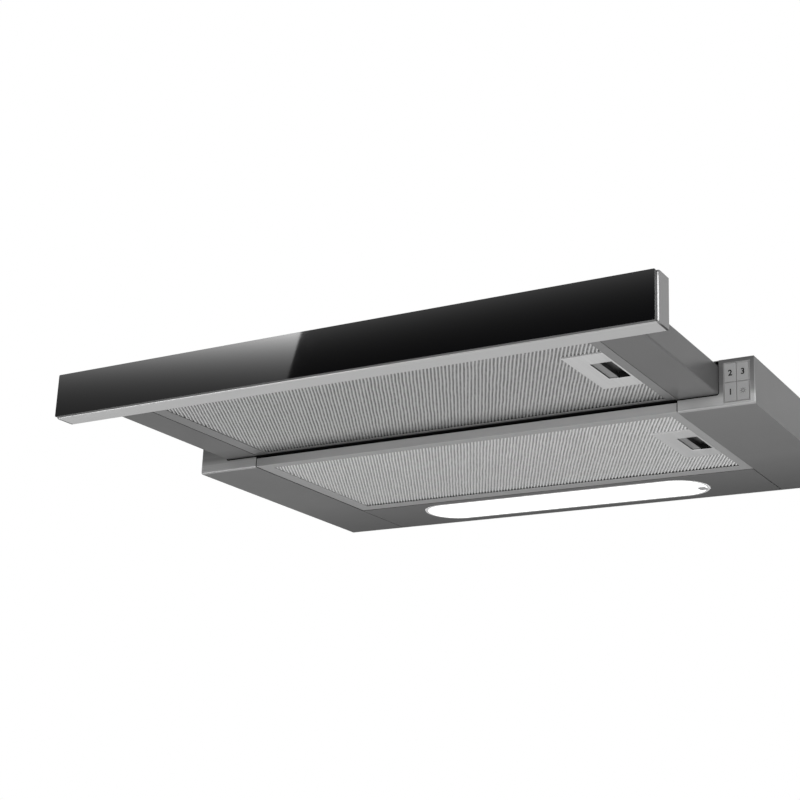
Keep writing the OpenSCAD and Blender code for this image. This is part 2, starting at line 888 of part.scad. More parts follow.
// Outline of the blower's air space, with its walls when grown
module scroll_outline(grow) {
    translate([fan_x, y_fan]) polygon([
        for (a = [scroll_start : scroll_step : scroll_start + scroll_turn])
            (scroll_r(a) + grow) * [cos(a), sin(a)]
    ]);
    area([plenum_x0 - grow, y_fan - scroll_r1 - grow], [plenum_x1 + grow, y_fan + scroll_r1 + grow]);
}

// Channel from the scroll to the space below the duct collar
module scroll_channel(grow) {
    area([plenum_x1 - over, y_fan + scroll_r0 - grow], [fan_x, y_fan + scroll_r1 + grow]);
}

module scroll_base() {
    color(plastic_black) {
        difference() {
            translate([0, 0, body_h]) linear_extrude(scroll_wall) {
                scroll_outline(scroll_wall);
                scroll_channel(scroll_wall);
            }
            translate([fan_x, y_fan, body_h - over]) cylinder(r = inlet_r, h = scroll_wall + 2 * over);
        }
        translate([fan_x, y_fan, z_scroll]) difference() {
            cylinder(r = inlet_r + scroll_wall / 2, h = inlet_h);
            translate([0, 0, -over]) cylinder(r = inlet_r, h = inlet_h + 2 * over);
        }
    }
}

module scroll_cover() {
    z_plenum = z_tower_top - sheet_t;
    color(plastic_black) difference() {
        union() {
            translate([0, 0, z_scroll]) linear_extrude(z_lid - z_scroll) {
                scroll_outline(scroll_wall);
                scroll_channel(scroll_wall);
            }
            block([plenum_x0 - scroll_wall, y_fan - scroll_r1 - scroll_wall, z_scroll],
                [plenum_x1 + scroll_wall, y_fan + scroll_r1 + scroll_wall, z_plenum]);
        }
        translate([0, 0, z_scroll - over]) linear_extrude(z_lid - scroll_wall - z_scroll + over) {
            scroll_outline(0);
            scroll_channel(0);
        }
        block([plenum_x0, y_fan - scroll_r1, z_scroll],
            [plenum_x1, y_fan + scroll_r1, z_plenum - scroll_wall]);
        translate([collar_x, y_fan, z_plenum - scroll_wall - over])
            cylinder(r = duct_hole_r, h = scroll_wall + 2 * over);
        translate([fan_x, y_fan, z_lid - scroll_wall - over])
            cylinder(r = lid_hole_r, h = scroll_wall + 2 * over);
    }
}

module motor_housing() {
    color(zinc) translate([fan_x, y_fan, z_lid]) difference() {
        cylinder(r = motor_r, h = motor_h);
        translate([0, 0, motor_end_t]) cylinder(r = rotor_r + rotor_gap, h = motor_h - 2 * motor_end_t);
        translate([0, 0, -over]) cylinder(r = shaft_r + shaft_fit, h = motor_h + 2 * over);
    }
}

module rotor_shaft() {
    z0 = z_fan + fan_h - hub_h;
    color(spring_steel) translate([fan_x, y_fan, 0]) {
        translate([0, 0, z0]) cylinder(r = shaft_r, h = z_lid + motor_h - z0);
        translate([0, 0, z_lid + (motor_h - rotor_h) / 2]) cylinder(r = rotor_r, h = rotor_h);
    }
}

module impeller() {
    plate_z = fan_h - fan_plate_t;
    color(plastic_grey) translate([fan_x, y_fan, z_fan]) {
        difference() {
            union() {
                translate([0, 0, plate_z]) cylinder(r = fan_r, h = fan_plate_t);
                translate([0, 0, fan_h - hub_h]) cylinder(r = hub_r, h = hub_h);
            }
            translate([0, 0, fan_h - hub_h - over]) cylinder(r = shaft_r + hub_fit, h = hub_h + 2 * over);
        }
        difference() {
            cylinder(r = fan_r, h = fan_plate_t);
            translate([0, 0, -over])
                cylinder(r = fan_ring_inner_r + blade_inset, h = fan_plate_t + 2 * over);
        }
        for (i = [0 : blade_count - 1])
            rotate([0, 0, 360 * i / blade_count]) translate([fan_ring_inner_r, 0, fan_plate_t / 2])
                rotate([0, 0, blade_turn]) cube([blade_l, blade_t, plate_z]);
    }
}

module capacitor() {
    x = tower_w / 2 - sheet_t - capacitor_gap - capacitor_r;
    y = y_fan - tower_d / 2 + sheet_t + capacitor_gap + capacitor_r;
    color(board_white) translate([x, y, body_h]) cylinder(r = capacitor_r, h = capacitor_h);
}

module outlet_collar() {
    inner_r = collar_r - collar_wall;
    ledge_z = z_pin - flap_t / 2 - flap_rest_gap - flap_ledge_t;
    color(plastic_black) translate([collar_x, y_fan, 0]) difference() {
        union() {
            translate([0, 0, z_tower_top]) cylinder(r = collar_r, h = collar_h);
            translate([0, 0, z_tower_top]) cylinder(r = collar_r + collar_flange, h = collar_flange_t);
        }
        translate([0, 0, z_tower_top - over]) cylinder(r = inner_r - flap_ledge, h = collar_h + 2 * over);
        translate([0, 0, z_tower_top - over]) cylinder(r = inner_r, h = ledge_z - z_tower_top + over);
        translate([0, 0, ledge_z + flap_ledge_t]) cylinder(r = inner_r, h = collar_h + over);
        translate([-inner_r - pin_grip, 0, z_pin]) bar_x(pin_r + pin_fit, 2 * (inner_r + pin_grip));
    }
}

module flap_pin() {
    reach = collar_r - collar_wall + pin_grip - pin_fit;
    color(spring_steel) translate([collar_x - reach, y_fan, z_pin]) bar_x(pin_r, 2 * reach);
}

// Half a disc that swings up about the pin, with two knuckles
module flap(first) {
    r = collar_r - collar_wall - flap_gap;
    difference() {
        union() {
            translate([0, 0, -flap_t / 2]) intersection() {
                cylinder(r = r, h = flap_t);
                block([-r, flap_edge, 0], [r, r, flap_t]);
            }
            for (x = [first, first + 2 * knuckle_pitch]) {
                translate([x, 0, 0]) bar_x(knuckle_r, knuckle_w);
                block([x, 0, -flap_t / 2], [x + knuckle_w, flap_edge + over, flap_t / 2]);
            }
        }
        translate([-r, 0, 0]) bar_x(pin_r + pin_fit, 2 * r);
    }
}

module flap_front() {
    color(plastic_grey) translate([collar_x, y_fan, z_pin])
        rotate([0, 0, 180]) flap(-2 * knuckle_pitch + pin_r);
}

module flap_rear() {
    color(plastic_grey) translate([collar_x, y_fan, z_pin]) flap(-2 * knuckle_pitch + pin_r);
}

module terminal_box() {
    low = [terminal_x, y_back - terminal_back - terminal_d, body_h];
    high = low + [terminal_w, terminal_d, terminal_h];
    wall = [terminal_wall, terminal_wall, 0];
    color(plastic_grey) difference() {
        block(low, high);
        block(low + wall - [0, 0, over], high - wall - [0, 0, terminal_wall]);
        translate([terminal_x - over, y_back - terminal_back - terminal_d / 2, body_h + gland_z])
            bar_x(gland_r + gland_fit, terminal_wall + 2 * over);
    }
}

module cable_gland() {
    body_l = gland_nut_t + gland_dome_l;
    color(plastic_black) translate([terminal_x, y_back - terminal_back - terminal_d / 2, body_h + gland_z])
        rotate([0, -90, 0]) difference() {
            union() {
                translate([0, 0, -2 * terminal_wall])
                    cylinder(r = gland_r, h = 2 * terminal_wall + body_l / 2);
                cylinder(r = gland_nut_r, h = gland_nut_t, $fn = 6);
                translate([0, 0, gland_nut_t]) cylinder(r = gland_dome_r, h = gland_dome_l);
            }
            translate([0, 0, -2 * terminal_wall - over])
                cylinder(r = gland_bore_r, h = 2 * terminal_wall + body_l + 2 * over);
        }
}

// Places of the four buttons, by column from the left and row from the bottom
module at_button(column, row) {
    pitch_x = key_w + button_gap;
    pitch_z = key_h + button_gap;
    translate([bezel_x + (column - 1 / 2) * pitch_x, y_body, bezel_z + (row - 1 / 2) * pitch_z]) children();
}

module button_bezel() {
    flange_x = bezel_w / 2 + bezel_flange;
    flange_z = bezel_h / 2 + bezel_flange;
    color(steel) difference() {
        union() {
            block([bezel_x - bezel_w / 2, y_body, bezel_z - bezel_h / 2],
                [bezel_x + bezel_w / 2, y_body + bezel_back_y + bezel_back_t, bezel_z + bezel_h / 2]);
            block([bezel_x - flange_x, y_channel, bezel_z - flange_z],
                [bezel_x + flange_x, y_channel + bezel_flange_t, bezel_z + flange_z]);
        }
        block([bezel_x - bezel_w / 2 + bezel_wall, y_body - over, bezel_z - bezel_h / 2 + bezel_wall],
            [bezel_x + bezel_w / 2 - bezel_wall, y_body + bezel_back_y, bezel_z + bezel_h / 2 - bezel_wall]);
        for (column = [0, 1], row = [0, 1])
            at_button(column, row) translate([0, bezel_back_y - over, 0])
                bar_y(stem_r + stem_fit, bezel_back_t + 2 * over);
    }
}

// A button cap with its stem
module button(column, row) {
    color(steel) at_button(column, row) {
        block([-key_w / 2, 0, -key_h / 2], [key_w / 2, key_t, key_h / 2]);
        translate([0, key_t / 2, 0]) bar_y(stem_r, stem_l + key_t / 2);
    }
}

module button_one() {
    button(0, 0);
}

module button_two() {
    button(0, 1);
}

module button_three() {
    button(1, 1);
}

module button_light() {
    button(1, 0);
}

module switch_block() {
    y0 = y_body + bezel_back_y + bezel_back_t;
    color(plastic_black) difference() {
        block([bezel_x - bezel_w / 2, y0, bezel_z - bezel_h / 2],
            [bezel_x + bezel_w / 2, y0 + switch_d, bezel_z + bezel_h / 2]);
        for (column = [0, 1], row = [0, 1])
            at_button(column, row) translate([0, y0 - y_body, 0])
                block([-switch_bore_r, -over, -switch_bore_r], [switch_bore_r, switch_bore_d, switch_bore_r]);
    }
}

module button_springs() {
    y0 = key_t + stem_l;
    y1 = bezel_back_y + bezel_back_t + switch_bore_d;
    color(spring_steel) for (column = [0, 1], row = [0, 1])
        at_button(column, row) translate([0, y0, 0])
            rotate([-90, 0, 0]) coil(button_spring_r, button_spring_wire, y1 - y0, 5);
}

module reed_switch() {
    y0 = y_drawer + arm_l + travel + reed_gap;
    color(plastic_black) block([reed_x - reed_w / 2, y0, z_top - reed_h],
        [reed_x + reed_w / 2, y0 + reed_d, z_top]);
}

// A quarter of sheet bent round the origin, from +X to +Y
module bend() {
    intersection() {
        difference() {
            circle(bend_r);
            circle(bend_r - sheet_t);
        }
        square(bend_r);
    }
}

// Folded side member of the drawer, with the trough that hides the rail
module drawer_side() {
    bend_x = x_drawer - bend_r;
    along_y(y_drawer, arm_l) union() {
        area([x_seam, z_drawer], [bend_x, z_drawer + sheet_t]);
        area([x_drawer - sheet_t, z_drawer + bend_r], [x_drawer, z_drawer_top - bend_r]);
        area([x_drawer - drawer_lip_w, z_drawer_top - sheet_t], [bend_x, z_drawer_top]);
        translate([bend_x, z_drawer_top - bend_r]) bend();
        translate([bend_x, z_drawer + bend_r]) mirror([0, 1]) bend();
        area([x_trough, z_drawer], [x_trough + sheet_t, z_drawer_top - sheet_t]);
        area([x_seam, z_drawer], [x_seam + sheet_t, z_drawer + drawer_flange_h]);
    }
}

module drawer_side_left() {
    color(grey_paint) left() difference() {
        drawer_side();
        tongue_slots(y_drawer_filter, z_drawer_filter);
    }
}

module drawer_side_right() {
    color(grey_paint) difference() {
        drawer_side();
        bolt_slot(y_drawer_filter, z_drawer_filter);
    }
}

// Places of the screws that hold the front panel
module at_panel_screws() {
    spacing = x_seam / 2;
    for (i = [-3, -1, 1, 3]) translate([i * spacing / 2, y_drawer + sheet_t, panel_screw_z]) children();
}

module drawer_front_bar() {
    color(zinc) difference() {
        block([-x_trough, y_drawer, z_drawer + sheet_t],
            [x_trough, y_drawer + sheet_t, z_drawer_top - sheet_t]);
        at_panel_screws() translate([0, -sheet_t - over, 0]) bar_y(screw_hole_r, sheet_t + 2 * over);
    }
}

module drawer_rear_bar() {
    z1 = z_drawer + drawer_flange_h;
    color(zinc) along_x(-x_seam, 2 * x_seam) union() {
        area([y_rear_bar, z_drawer], [y_rear_bar + sheet_t, z1]);
        area([y_rear_bar, z1 - sheet_t], [y_rear_bar + rear_bar_flange, z1]);
    }
}

module drawer_cover() {
    color(zinc) block([-x_trough - sheet_t, y_drawer, z_drawer_top - sheet_t],
        [x_trough + sheet_t, y_drawer + arm_l, z_drawer_top]);
}

module drawer_magnet() {
    y1 = y_drawer + arm_l;
    color(plastic_black) block([reed_x - reed_w / 2, y1 - magnet_d, z_drawer_top],
        [reed_x + reed_w / 2, y1, z_drawer_top + magnet_t]);
}

// Section of the front panel in Y and Z, with its front edges rounded
module panel_section() {
    y1 = y_panel + panel_r;
    area([y1, 0], [y_drawer, panel_h]);
    area([y_panel, panel_r], [y1, panel_h - panel_r]);
    for (z = [panel_r, panel_h - panel_r]) translate([y1, z]) circle(panel_r);
}

module panel_profile() {
    color(steel) difference() {
        along_x(-x_side + cap_t, hood_w - 2 * cap_t) difference() {
            panel_section();
            area([y_panel + panel_wall, panel_wall], [y_drawer - panel_wall, panel_h - panel_wall]);
        }
        at_panel_screws() translate([0, -sheet_t - panel_wall - over, 0])
            bar_y(screw_hole_r, panel_wall + 2 * over);
    }
}

module panel_end_caps() {
    color(steel) {
        along_x(x_side - cap_t, cap_t) panel_section();
        along_x(-x_side, cap_t) panel_section();
    }
}

module panel_glass() {
    color(glass_black) block([-x_side + glass_margin_x, y_glass, glass_margin_z],
        [x_side - glass_margin_x, y_panel, panel_h - glass_margin_z]);
}

module panel_screws() {
    color(spring_steel) at_panel_screws() {
        bar_y(screw_head_r, screw_head_h);
        translate([0, -sheet_t - panel_wall - panel_screw_tip, 0])
            bar_y(screw_r, sheet_t + panel_wall + panel_screw_tip + screw_head_h / 2);
    }
}

module bumpers() {
    color(plastic_black) for (side = [-1, 1])
        translate([side * bumper_x, y_drawer, bumper_z]) bar_y(bumper_r, bumper_t);
}

side_channel_left();
side_channel_right();
fascia_left();
fascia_right();
top_plate();
back_wall();
rail_brackets();
rails_fixed();
fixed_filter_frame();
fixed_filter_mesh();
fixed_latch_housing();
fixed_latch_spring();
fixed_latch_slider();
lamp_panel();
lamp_lens();
lamp_housing();
led_board();
lamp_driver();
tower_casing();
tower_lid();
tower_screws();
scroll_base();
scroll_cover();
motor_housing();
capacitor();
terminal_box();
cable_gland();
outlet_collar();
flap_pin();
flap_front();
flap_rear();
impeller();
rotor_shaft();
button_bezel();
switch_block();
button_springs();
button_one();
button_two();
button_three();
button_light();
reed_switch();
rail_mid_left();
rail_mid_right();
rails_inner();
drawer_side_left();
drawer_side_right();
drawer_front_bar();
drawer_rear_bar();
drawer_cover();
drawer_magnet();
drawer_filter_frame();
drawer_filter_mesh();
drawer_latch_housing();
drawer_latch_spring();
drawer_latch_slider();
panel_profile();
panel_end_caps();
panel_glass();
panel_screws();
bumpers();
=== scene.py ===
# %% [markdown]
# # Pull out range hood, dressed for its picture
#
# The hood hangs under a wall cabinet. Its drawer is pulled out, so the camera looks up at two
# grease filters, a lamp and the push buttons beside the drawer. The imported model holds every
# piece at its real size and place. This lesson adds what makes it look real: finishes, rounded
# edges, the knurled filter mesh, the glass and the marks on the buttons.
#
# The lengths here are metres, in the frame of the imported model: X runs along the front, Y runs
# back into the cabinet and Z runs up.

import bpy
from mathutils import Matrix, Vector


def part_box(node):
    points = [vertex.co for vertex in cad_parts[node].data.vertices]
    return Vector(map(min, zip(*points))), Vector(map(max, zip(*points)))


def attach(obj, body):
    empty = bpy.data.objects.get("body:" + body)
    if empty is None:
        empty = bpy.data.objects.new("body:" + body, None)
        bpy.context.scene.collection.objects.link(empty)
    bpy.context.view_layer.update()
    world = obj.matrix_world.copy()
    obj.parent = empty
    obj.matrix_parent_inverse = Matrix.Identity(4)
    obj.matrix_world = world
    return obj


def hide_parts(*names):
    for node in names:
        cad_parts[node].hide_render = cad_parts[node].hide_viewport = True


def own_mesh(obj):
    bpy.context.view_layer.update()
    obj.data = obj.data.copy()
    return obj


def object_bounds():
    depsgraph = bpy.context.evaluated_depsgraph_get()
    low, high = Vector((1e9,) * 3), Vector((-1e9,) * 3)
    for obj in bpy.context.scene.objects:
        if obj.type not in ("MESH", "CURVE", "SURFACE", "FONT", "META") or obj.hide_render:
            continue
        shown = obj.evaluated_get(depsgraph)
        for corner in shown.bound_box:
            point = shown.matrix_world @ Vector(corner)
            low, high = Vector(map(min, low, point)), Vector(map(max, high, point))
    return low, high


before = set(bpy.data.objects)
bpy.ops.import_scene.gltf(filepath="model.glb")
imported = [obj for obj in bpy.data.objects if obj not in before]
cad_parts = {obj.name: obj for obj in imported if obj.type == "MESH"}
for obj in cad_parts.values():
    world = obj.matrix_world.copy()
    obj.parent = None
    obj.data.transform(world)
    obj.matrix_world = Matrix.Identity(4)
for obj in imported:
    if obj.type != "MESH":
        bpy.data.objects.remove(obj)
cad_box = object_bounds()

# %% Bring in the tools
import math

import bmesh
import bpy
from mathutils import Matrix, Vector, noise

MM = 0.001
scene = bpy.context.scene
scene.view_settings.view_transform = "Standard"
low, high = cad_box
print("size in mm", [round((b - a) / MM, 1) for a, b in zip(low, high)])

# %% [markdown]
# ## The camera
# The photographer stood below the hood and to the right of it, and looked up. The angles and the
# place come from fitting the model's corners to the same corners in the photograph. Blender's
# camera looks along its own -Z, so the three axes of the view become the columns of its matrix.
# The photograph is a little off the lens axis, which the two small shifts repeat.

# %% Stand the camera where the photographer stood
CAMERA_PLACE = Vector((0.70114, -1.23986, -0.40631))
TURN_LEFT, LOOK_UP, TILT = 0.534486, 0.284972, 0.034998
FOCAL_SHARE = 1531.161 / 800
SENSOR = 36.0
SHIFT = (-0.05, 0.05)
CLIP_NEAR, CLIP_FAR = 0.05, 60.0


def camera_axes(turn, up, tilt):
    """The view's right, up and forward directions, from the three angles in radians."""
    level_forward = Vector((-math.sin(turn), math.cos(turn), 0))
    level_right = Vector((math.cos(turn), math.sin(turn), 0))
    forward = level_forward * math.cos(up) + Vector((0, 0, 1)) * math.sin(up)
    straight_up = Vector((0, 0, 1)) * math.cos(up) - level_forward * math.sin(up)
    right = level_right * math.cos(tilt) + straight_up * math.sin(tilt)
    return right, straight_up * math.cos(tilt) - level_right * math.sin(tilt), forward


def stand_camera():
    """Puts the camera in its place and makes it the scene's own."""
    right, up, forward = camera_axes(TURN_LEFT, LOOK_UP, TILT)
    camera_data = bpy.data.cameras.new("photo_camera")
    camera_data.sensor_width = SENSOR
    camera_data.lens = FOCAL_SHARE * SENSOR
    camera_data.shift_x, camera_data.shift_y = SHIFT
    camera_data.clip_start, camera_data.clip_end = CLIP_NEAR, CLIP_FAR
    camera = bpy.data.objects.new("photo_camera", camera_data)
    scene.collection.objects.link(camera)
    camera.matrix_world = Matrix.Translation(CAMERA_PLACE) @ Matrix(
        (right, up, -forward)
    ).transposed().to_4x4()
    scene.camera = camera
    return camera


camera = stand_camera()
print("lens in mm", round(camera.data.lens, 1))

# %% [markdown]
# ## The studio
# A plain pale floor lies well below the hanging hood, so that no view from below is blocked. The
# white behind the hood is the world itself, seen only by camera, mirror and glass rays. Soft
# light on the object comes from the same world at a lower level and from large lamps, which keeps
# every colour about as it is written. The first cell holds short tools for laying out nodes, which
# every finish later uses too.

# %% Tools for laying out nodes
WHITE = (1, 1, 1, 1)


def feed(tree, node, *values, **sockets):
    """Feeds sockets in their order or by name, with a value or another node; _ means a space."""
    pairs = list(zip(node.inputs, values))
    pairs += [(node.inputs[name.replace("_", " ")], value) for name, value in sockets.items()]
    for socket, value in pairs:
        if isinstance(value, bpy.types.Node):
            value = value.outputs[0]
        if isinstance(value, bpy.types.NodeSocket):
            tree.links.new(value, socket)
        else:
            socket.default_value = value
    return node


def add(tree, kind, *values, **sockets):
    return feed(tree, tree.nodes.new("ShaderNode" + kind), *values, **sockets)


def calculate(tree, operation, first, second):
    """A sum on two values, each a number or another node."""
    node = add(tree, "Math", first, second)
    node.operation = operation
    return node


def object_place(tree):
    """The place on the object in metres, as three values named X, Y and Z."""
    return add(tree, "SeparateXYZ", add(tree, "TexCoord").outputs["Object"]).outputs


def bare_material(name):
    """A material with nothing in its tree yet."""
    material = bpy.data.materials.new(name)
    material.use_nodes = True
    material.node_tree.nodes.clear()
    return material, material.node_tree


print("ready to lay out nodes")

# %% Light the air
FILL_LIGHT = 0.26


def seen_directly(tree):
    """A value that is 1 for camera, mirror and glass rays, and 0 for soft light."""
    ray = add(tree, "LightPath").outputs
    first = calculate(tree, "MAXIMUM", ray["Is Camera Ray"], ray["Is Glossy Ray"])
    return calculate(tree, "MAXIMUM", first, ray["Is Transmission Ray"])


def light_the_air():
    """Soft light for the object, and plain white for the rays that see the air."""
    world = bpy.data.worlds.new("studio_air")
    world.use_nodes = True
    tree = world.node_tree
    tree.nodes.clear()
    soft = add(tree, "Background", Color=WHITE, Strength=FILL_LIGHT)
    white = add(tree, "Background", Color=WHITE, Strength=1.0)
    add(tree, "OutputWorld", Surface=add(tree, "MixShader", seen_directly(tree), soft, white))
    scene.world = world


light_the_air()
print("soft light", FILL_LIGHT)

# %% Lay the floor
FLOOR_LEVEL = -1.75
FLOOR_SIZE = 16.0
FLOOR_SHADE = 0.82


def floor_finish():
    """Pale paint that takes shadows, lifted to the white of the air for rays that see it."""
    material, tree = bare_material("floor_paint")
    paint = add(tree, "BsdfDiffuse", Color=(FLOOR_SHADE, FLOOR_SHADE, FLOOR_SHADE, 1))
    lift = calculate(tree, "MULTIPLY", seen_directly(tree), 1 - FLOOR_SHADE * FILL_LIGHT)
    glow = add(tree, "Emission", Strength=lift)
    add(tree, "OutputMaterial", Surface=add(tree, "AddShader", paint, glow))
    return material


def flat_card(name, corners):
    """A four-cornered sheet that belongs to the studio."""
    mesh = bpy.data.meshes.new(name)
    mesh.from_pydata([tuple(c) for c in corners], [], [(0, 1, 2, 3)])
    card = bpy.data.objects.new(name, mesh)
    scene.collection.objects.link(card)
    return card


def level_corners(left, right, front, back, level):
    """The corners of a card that lies flat at one height."""
    return [(left, front, level), (right, front, level), (right, back, level), (left, back, level)]


half = FLOOR_SIZE / 2
floor = flat_card("floor", level_corners(-half, half, -half, half, FLOOR_LEVEL))
floor.data.materials.append(floor_finish())
print("floor lies", round(-FLOOR_LEVEL, 2), "m below the hood")

# %% [markdown]
# ## The lamps
# Product shots of metal use big soft boxes. A long one hangs low in front, close to the hood, and
# lights the underside. Another hangs high behind for the tower, and a third stands in front and to
# the right for the upright faces. The camera doesn't see them, and neither does the steel, which
# gets its bright lines from cards instead.

# %% Set up the soft boxes
SOFT_BOXES = {
    "low_front_box": dict(
        place=(0.55, -0.75, -0.5), aim=(0.1, -0.05, 0), width=0.7, height=0.35, power=9.5
    ),
    "high_back_box": dict(
        place=(-1.2, 0.9, 2.1), aim=(0, 0, 0.1), width=1.6, height=1.6, power=18.0
    ),
    "front_box": dict(
        place=(1.6, -2.6, -0.1), aim=(0, 0, 0.05), width=2.0, height=1.2, power=30.0
    ),
}


def soft_box(name, place, aim, width, height, power):
    """A rectangle of light that looks from its place towards its aim."""
    lamp_data = bpy.data.lights.new(name, "AREA")
    lamp_data.shape = "RECTANGLE"
    lamp_data.size, lamp_data.size_y = width, height
    lamp_data.energy = power
    lamp = bpy.data.objects.new(name, lamp_data)
    scene.collection.objects.link(lamp)
    lamp.location = place
    lamp.rotation_mode = "QUATERNION"
    lamp.rotation_quaternion = (Vector(aim) - Vector(place)).to_track_quat("-Z", "Y")
    lamp.visible_camera = lamp.visible_glossy = False


for box_name, box in SOFT_BOXES.items():
    soft_box(box_name, **box)
print("soft boxes", len(SOFT_BOXES))

# %% [markdown]
# ## What the glass mirrors
# Black glass shows only what it mirrors. In the photograph its left half mirrors a bright card
# that fades downwards and to the left and ends at a slanted edge, and the rest mirrors a dark
# card. The camera seen in the glass, as in a mirror, tells where such a card has to stand: a line
# from there through a point of the glass meets the card. A third, dim card stands low on the left
# and hides the pale floor there. All cards are seen by mirror rays only, so they throw no light
# and no shadow.

# %% Find where a mirrored card has to stand
CARD_DISTANCE = 2.95
EDGE_TOP = (-0.0227, 0.0411)
EDGE_FOOT = (-0.0337, 0.0016)
glass_low, glass_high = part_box("panel_glass")


def mirrored_on_card(x, z):
    """Where a line from the mirrored camera through a point of the glass meets the cards' plane."""
    eye = CAMERA_PLACE.copy()
    eye.y = 2 * glass_low.y - eye.y
    direction = Vector((x, glass_low.y, z)) - eye
    return eye + direction * ((glass_low.y - CARD_DISTANCE - eye.y) / direction.y)


edge_top, edge_foot = mirrored_on_card(*EDGE_TOP), mirrored_on_card(*EDGE_FOOT)
print("the bright card's edge stands at x", round(edge_top.x, 2), "to", round(edge_foot.x, 2))

# %% Make glowing cards that only mirrors see
GLOW_CEILING = 0.3


def even_glow(name, strength=1.0):
    """A material that only gives light."""
    material, tree = bare_material(name)
    add(tree, "OutputMaterial", Surface=add(tree, "Emission", Strength=strength))
    return material


def growing_glow(name, base, peak, centre, rise, fade):
    """Light that grows along Z and X from a base level, in even steps of doubling."""
    material = even_glow(name)
    tree = material.node_tree
    place = object_place(tree)
    up = calculate(tree, "MULTIPLY", calculate(tree, "SUBTRACT", place["Z"], centre.z), rise)
    along = calculate(tree, "MULTIPLY", calculate(tree, "SUBTRACT", place["X"], centre.x), fade)
    growth = calculate(tree, "MINIMUM", calculate(tree, "ADD", up, along), GLOW_CEILING)
    power = calculate(tree, "EXPONENT", growth, 0)
    strength = calculate(tree, "ADD", calculate(tree, "MULTIPLY", power, peak), base)
    feed(tree, tree.nodes["Emission"], Strength=strength)
    return material


def mirror_card(name, corners, glow):
    """A card that only mirror rays meet, so it throws no light and no shadow."""
    card = flat_card(name, corners)
    card.data.materials.append(glow)
    card.visible_camera = card.visible_diffuse = card.visible_transmission = False
    card.visible_volume_scatter = card.visible_shadow = False


def upright_corners(left, right, y, foot, top):
    """The corners of an upright card that faces the hood's front or back."""
    return [(left, y, foot), (right, y, foot), (right, y, top), (left, y, top)]


print("ready to hang cards")

# %% Hang the cards that the front glass mirrors
BRIGHT_ABOVE, BRIGHT_BELOW, BRIGHT_PAST_LEFT = 0.03, 0.25, 0.15
CARD_GAP = 0.02
DARK_LEFT, DARK_RIGHT, DARK_TOP, DARK_BELOW = -4.5, 2.4, 3.4, 0.12
SIDE_LEFT, SIDE_RIGHT, SIDE_FOOT = -5.5, -1.7, -0.6


def bright_corners():
    """The bright card's corners; its right edge leans as it does in the photograph's mirror."""
    lean = (edge_top - edge_foot) / (edge_top.z - edge_foot.z)
    left = mirrored_on_card(glass_low.x, EDGE_TOP[1]).x - BRIGHT_PAST_LEFT
    top, foot = edge_top.z + BRIGHT_ABOVE, edge_foot.z - BRIGHT_BELOW
    right_foot, right_top = (edge_foot + lean * (z - edge_foot.z) for z in (foot, top))
    return [(left, edge_top.y, foot), right_foot, right_top, (left, edge_top.y, top)]


dark_foot = edge_foot.z - DARK_BELOW
mirror_card(
    "bright_card",
    bright_corners(),
    growing_glow("bright_card_glow", base=0.25, peak=11.6, centre=edge_top, rise=16.5, fade=1.95),
)
mirror_card(
    "dark_card",
    upright_corners(DARK_LEFT, DARK_RIGHT, edge_top.y - CARD_GAP, dark_foot, DARK_TOP),
    growing_glow("dark_card_glow", base=0.03, peak=0.75, centre=edge_top, rise=20.0, fade=0.0),
)
mirror_card(
    "side_card",
    upright_corners(SIDE_LEFT, SIDE_RIGHT, edge_top.y - 1.5 * CARD_GAP, SIDE_FOOT, dark_foot),
    even_glow("side_card_glow", 0.08),
)
print("cards for the glass", 3)

# %% [markdown]
# ## What the steel mirrors
# Steel shows what stands round it too. Two cards that lie low in front draw the light lines along
# the panel's foot and the sill, and one in front on the right draws the white line down the
# panel's right corner. A graded card behind the hood dims the underside. The bright card would
# also shine on the roof, which the photograph doesn't show, so a flag stands just in front of the
# glass plane, as a photographer would put one, and a small flag keeps the left fascia dark.

# %% Hang the cards that the steel mirrors
LINE_CARDS = {
    "panel_line_card": (4.5, level_corners(-1.55, -0.78, -1.3, -0.75, -1.1)),
    "sill_line_card": (0.25, level_corners(-1.6, -0.1, -0.75, -0.1, -1.15)),
    "corner_line_card": (
        6.5, [(0.15, -2.3, 0.2), (2.3, -0.1, 0.2), (2.3, -0.1, 1.4), (0.15, -2.3, 1.4)]
    ),
}
BACK_CARD_Y, FLAG_GAP = 2.2, 2 * MM
for name, (strength, corners) in LINE_CARDS.items():
    mirror_card(name, corners, even_glow(name + "_glow", strength))
mirror_card(
    "back_card",
    upright_corners(-3.4, 1.2, BACK_CARD_Y, -0.93, 0.55),
    growing_glow(
        "back_card_glow",
        base=0.02, peak=0.37, centre=Vector((0, BACK_CARD_Y, -0.62)), rise=-8.0, fade=0.0,
    ),
)
flag_y = glass_low.y - FLAG_GAP
mirror_card(
    "flag",
    upright_corners(-4.5, 2.5, flag_y, glass_high.z + FLAG_GAP, 2.6),
    growing_glow(
        "flag_glow", base=0.12, peak=0.42, centre=Vector((0, flag_y, 0.3)), rise=3.0, fade=1.2
    ),
)
mirror_card(
    "small_flag",
    upright_corners(-0.62, -0.35, -0.23, 0.05, 0.17),
    even_glow("small_flag_glow", 0.05),
)
print("cards for the steel", len(LINE_CARDS) + 3)

# %% [markdown]
# ## Finishes
# Each finish below is one material made from nodes. The pattern is laid out by the place on the
# object in metres, so that a grain keeps its real size on every piece. A grain that runs one way
# comes from a noise that is squeezed across that way.

# %% Tools for finishes
finishes = {}
NOISE_LOW, NOISE_HIGH = 0.3, 0.7


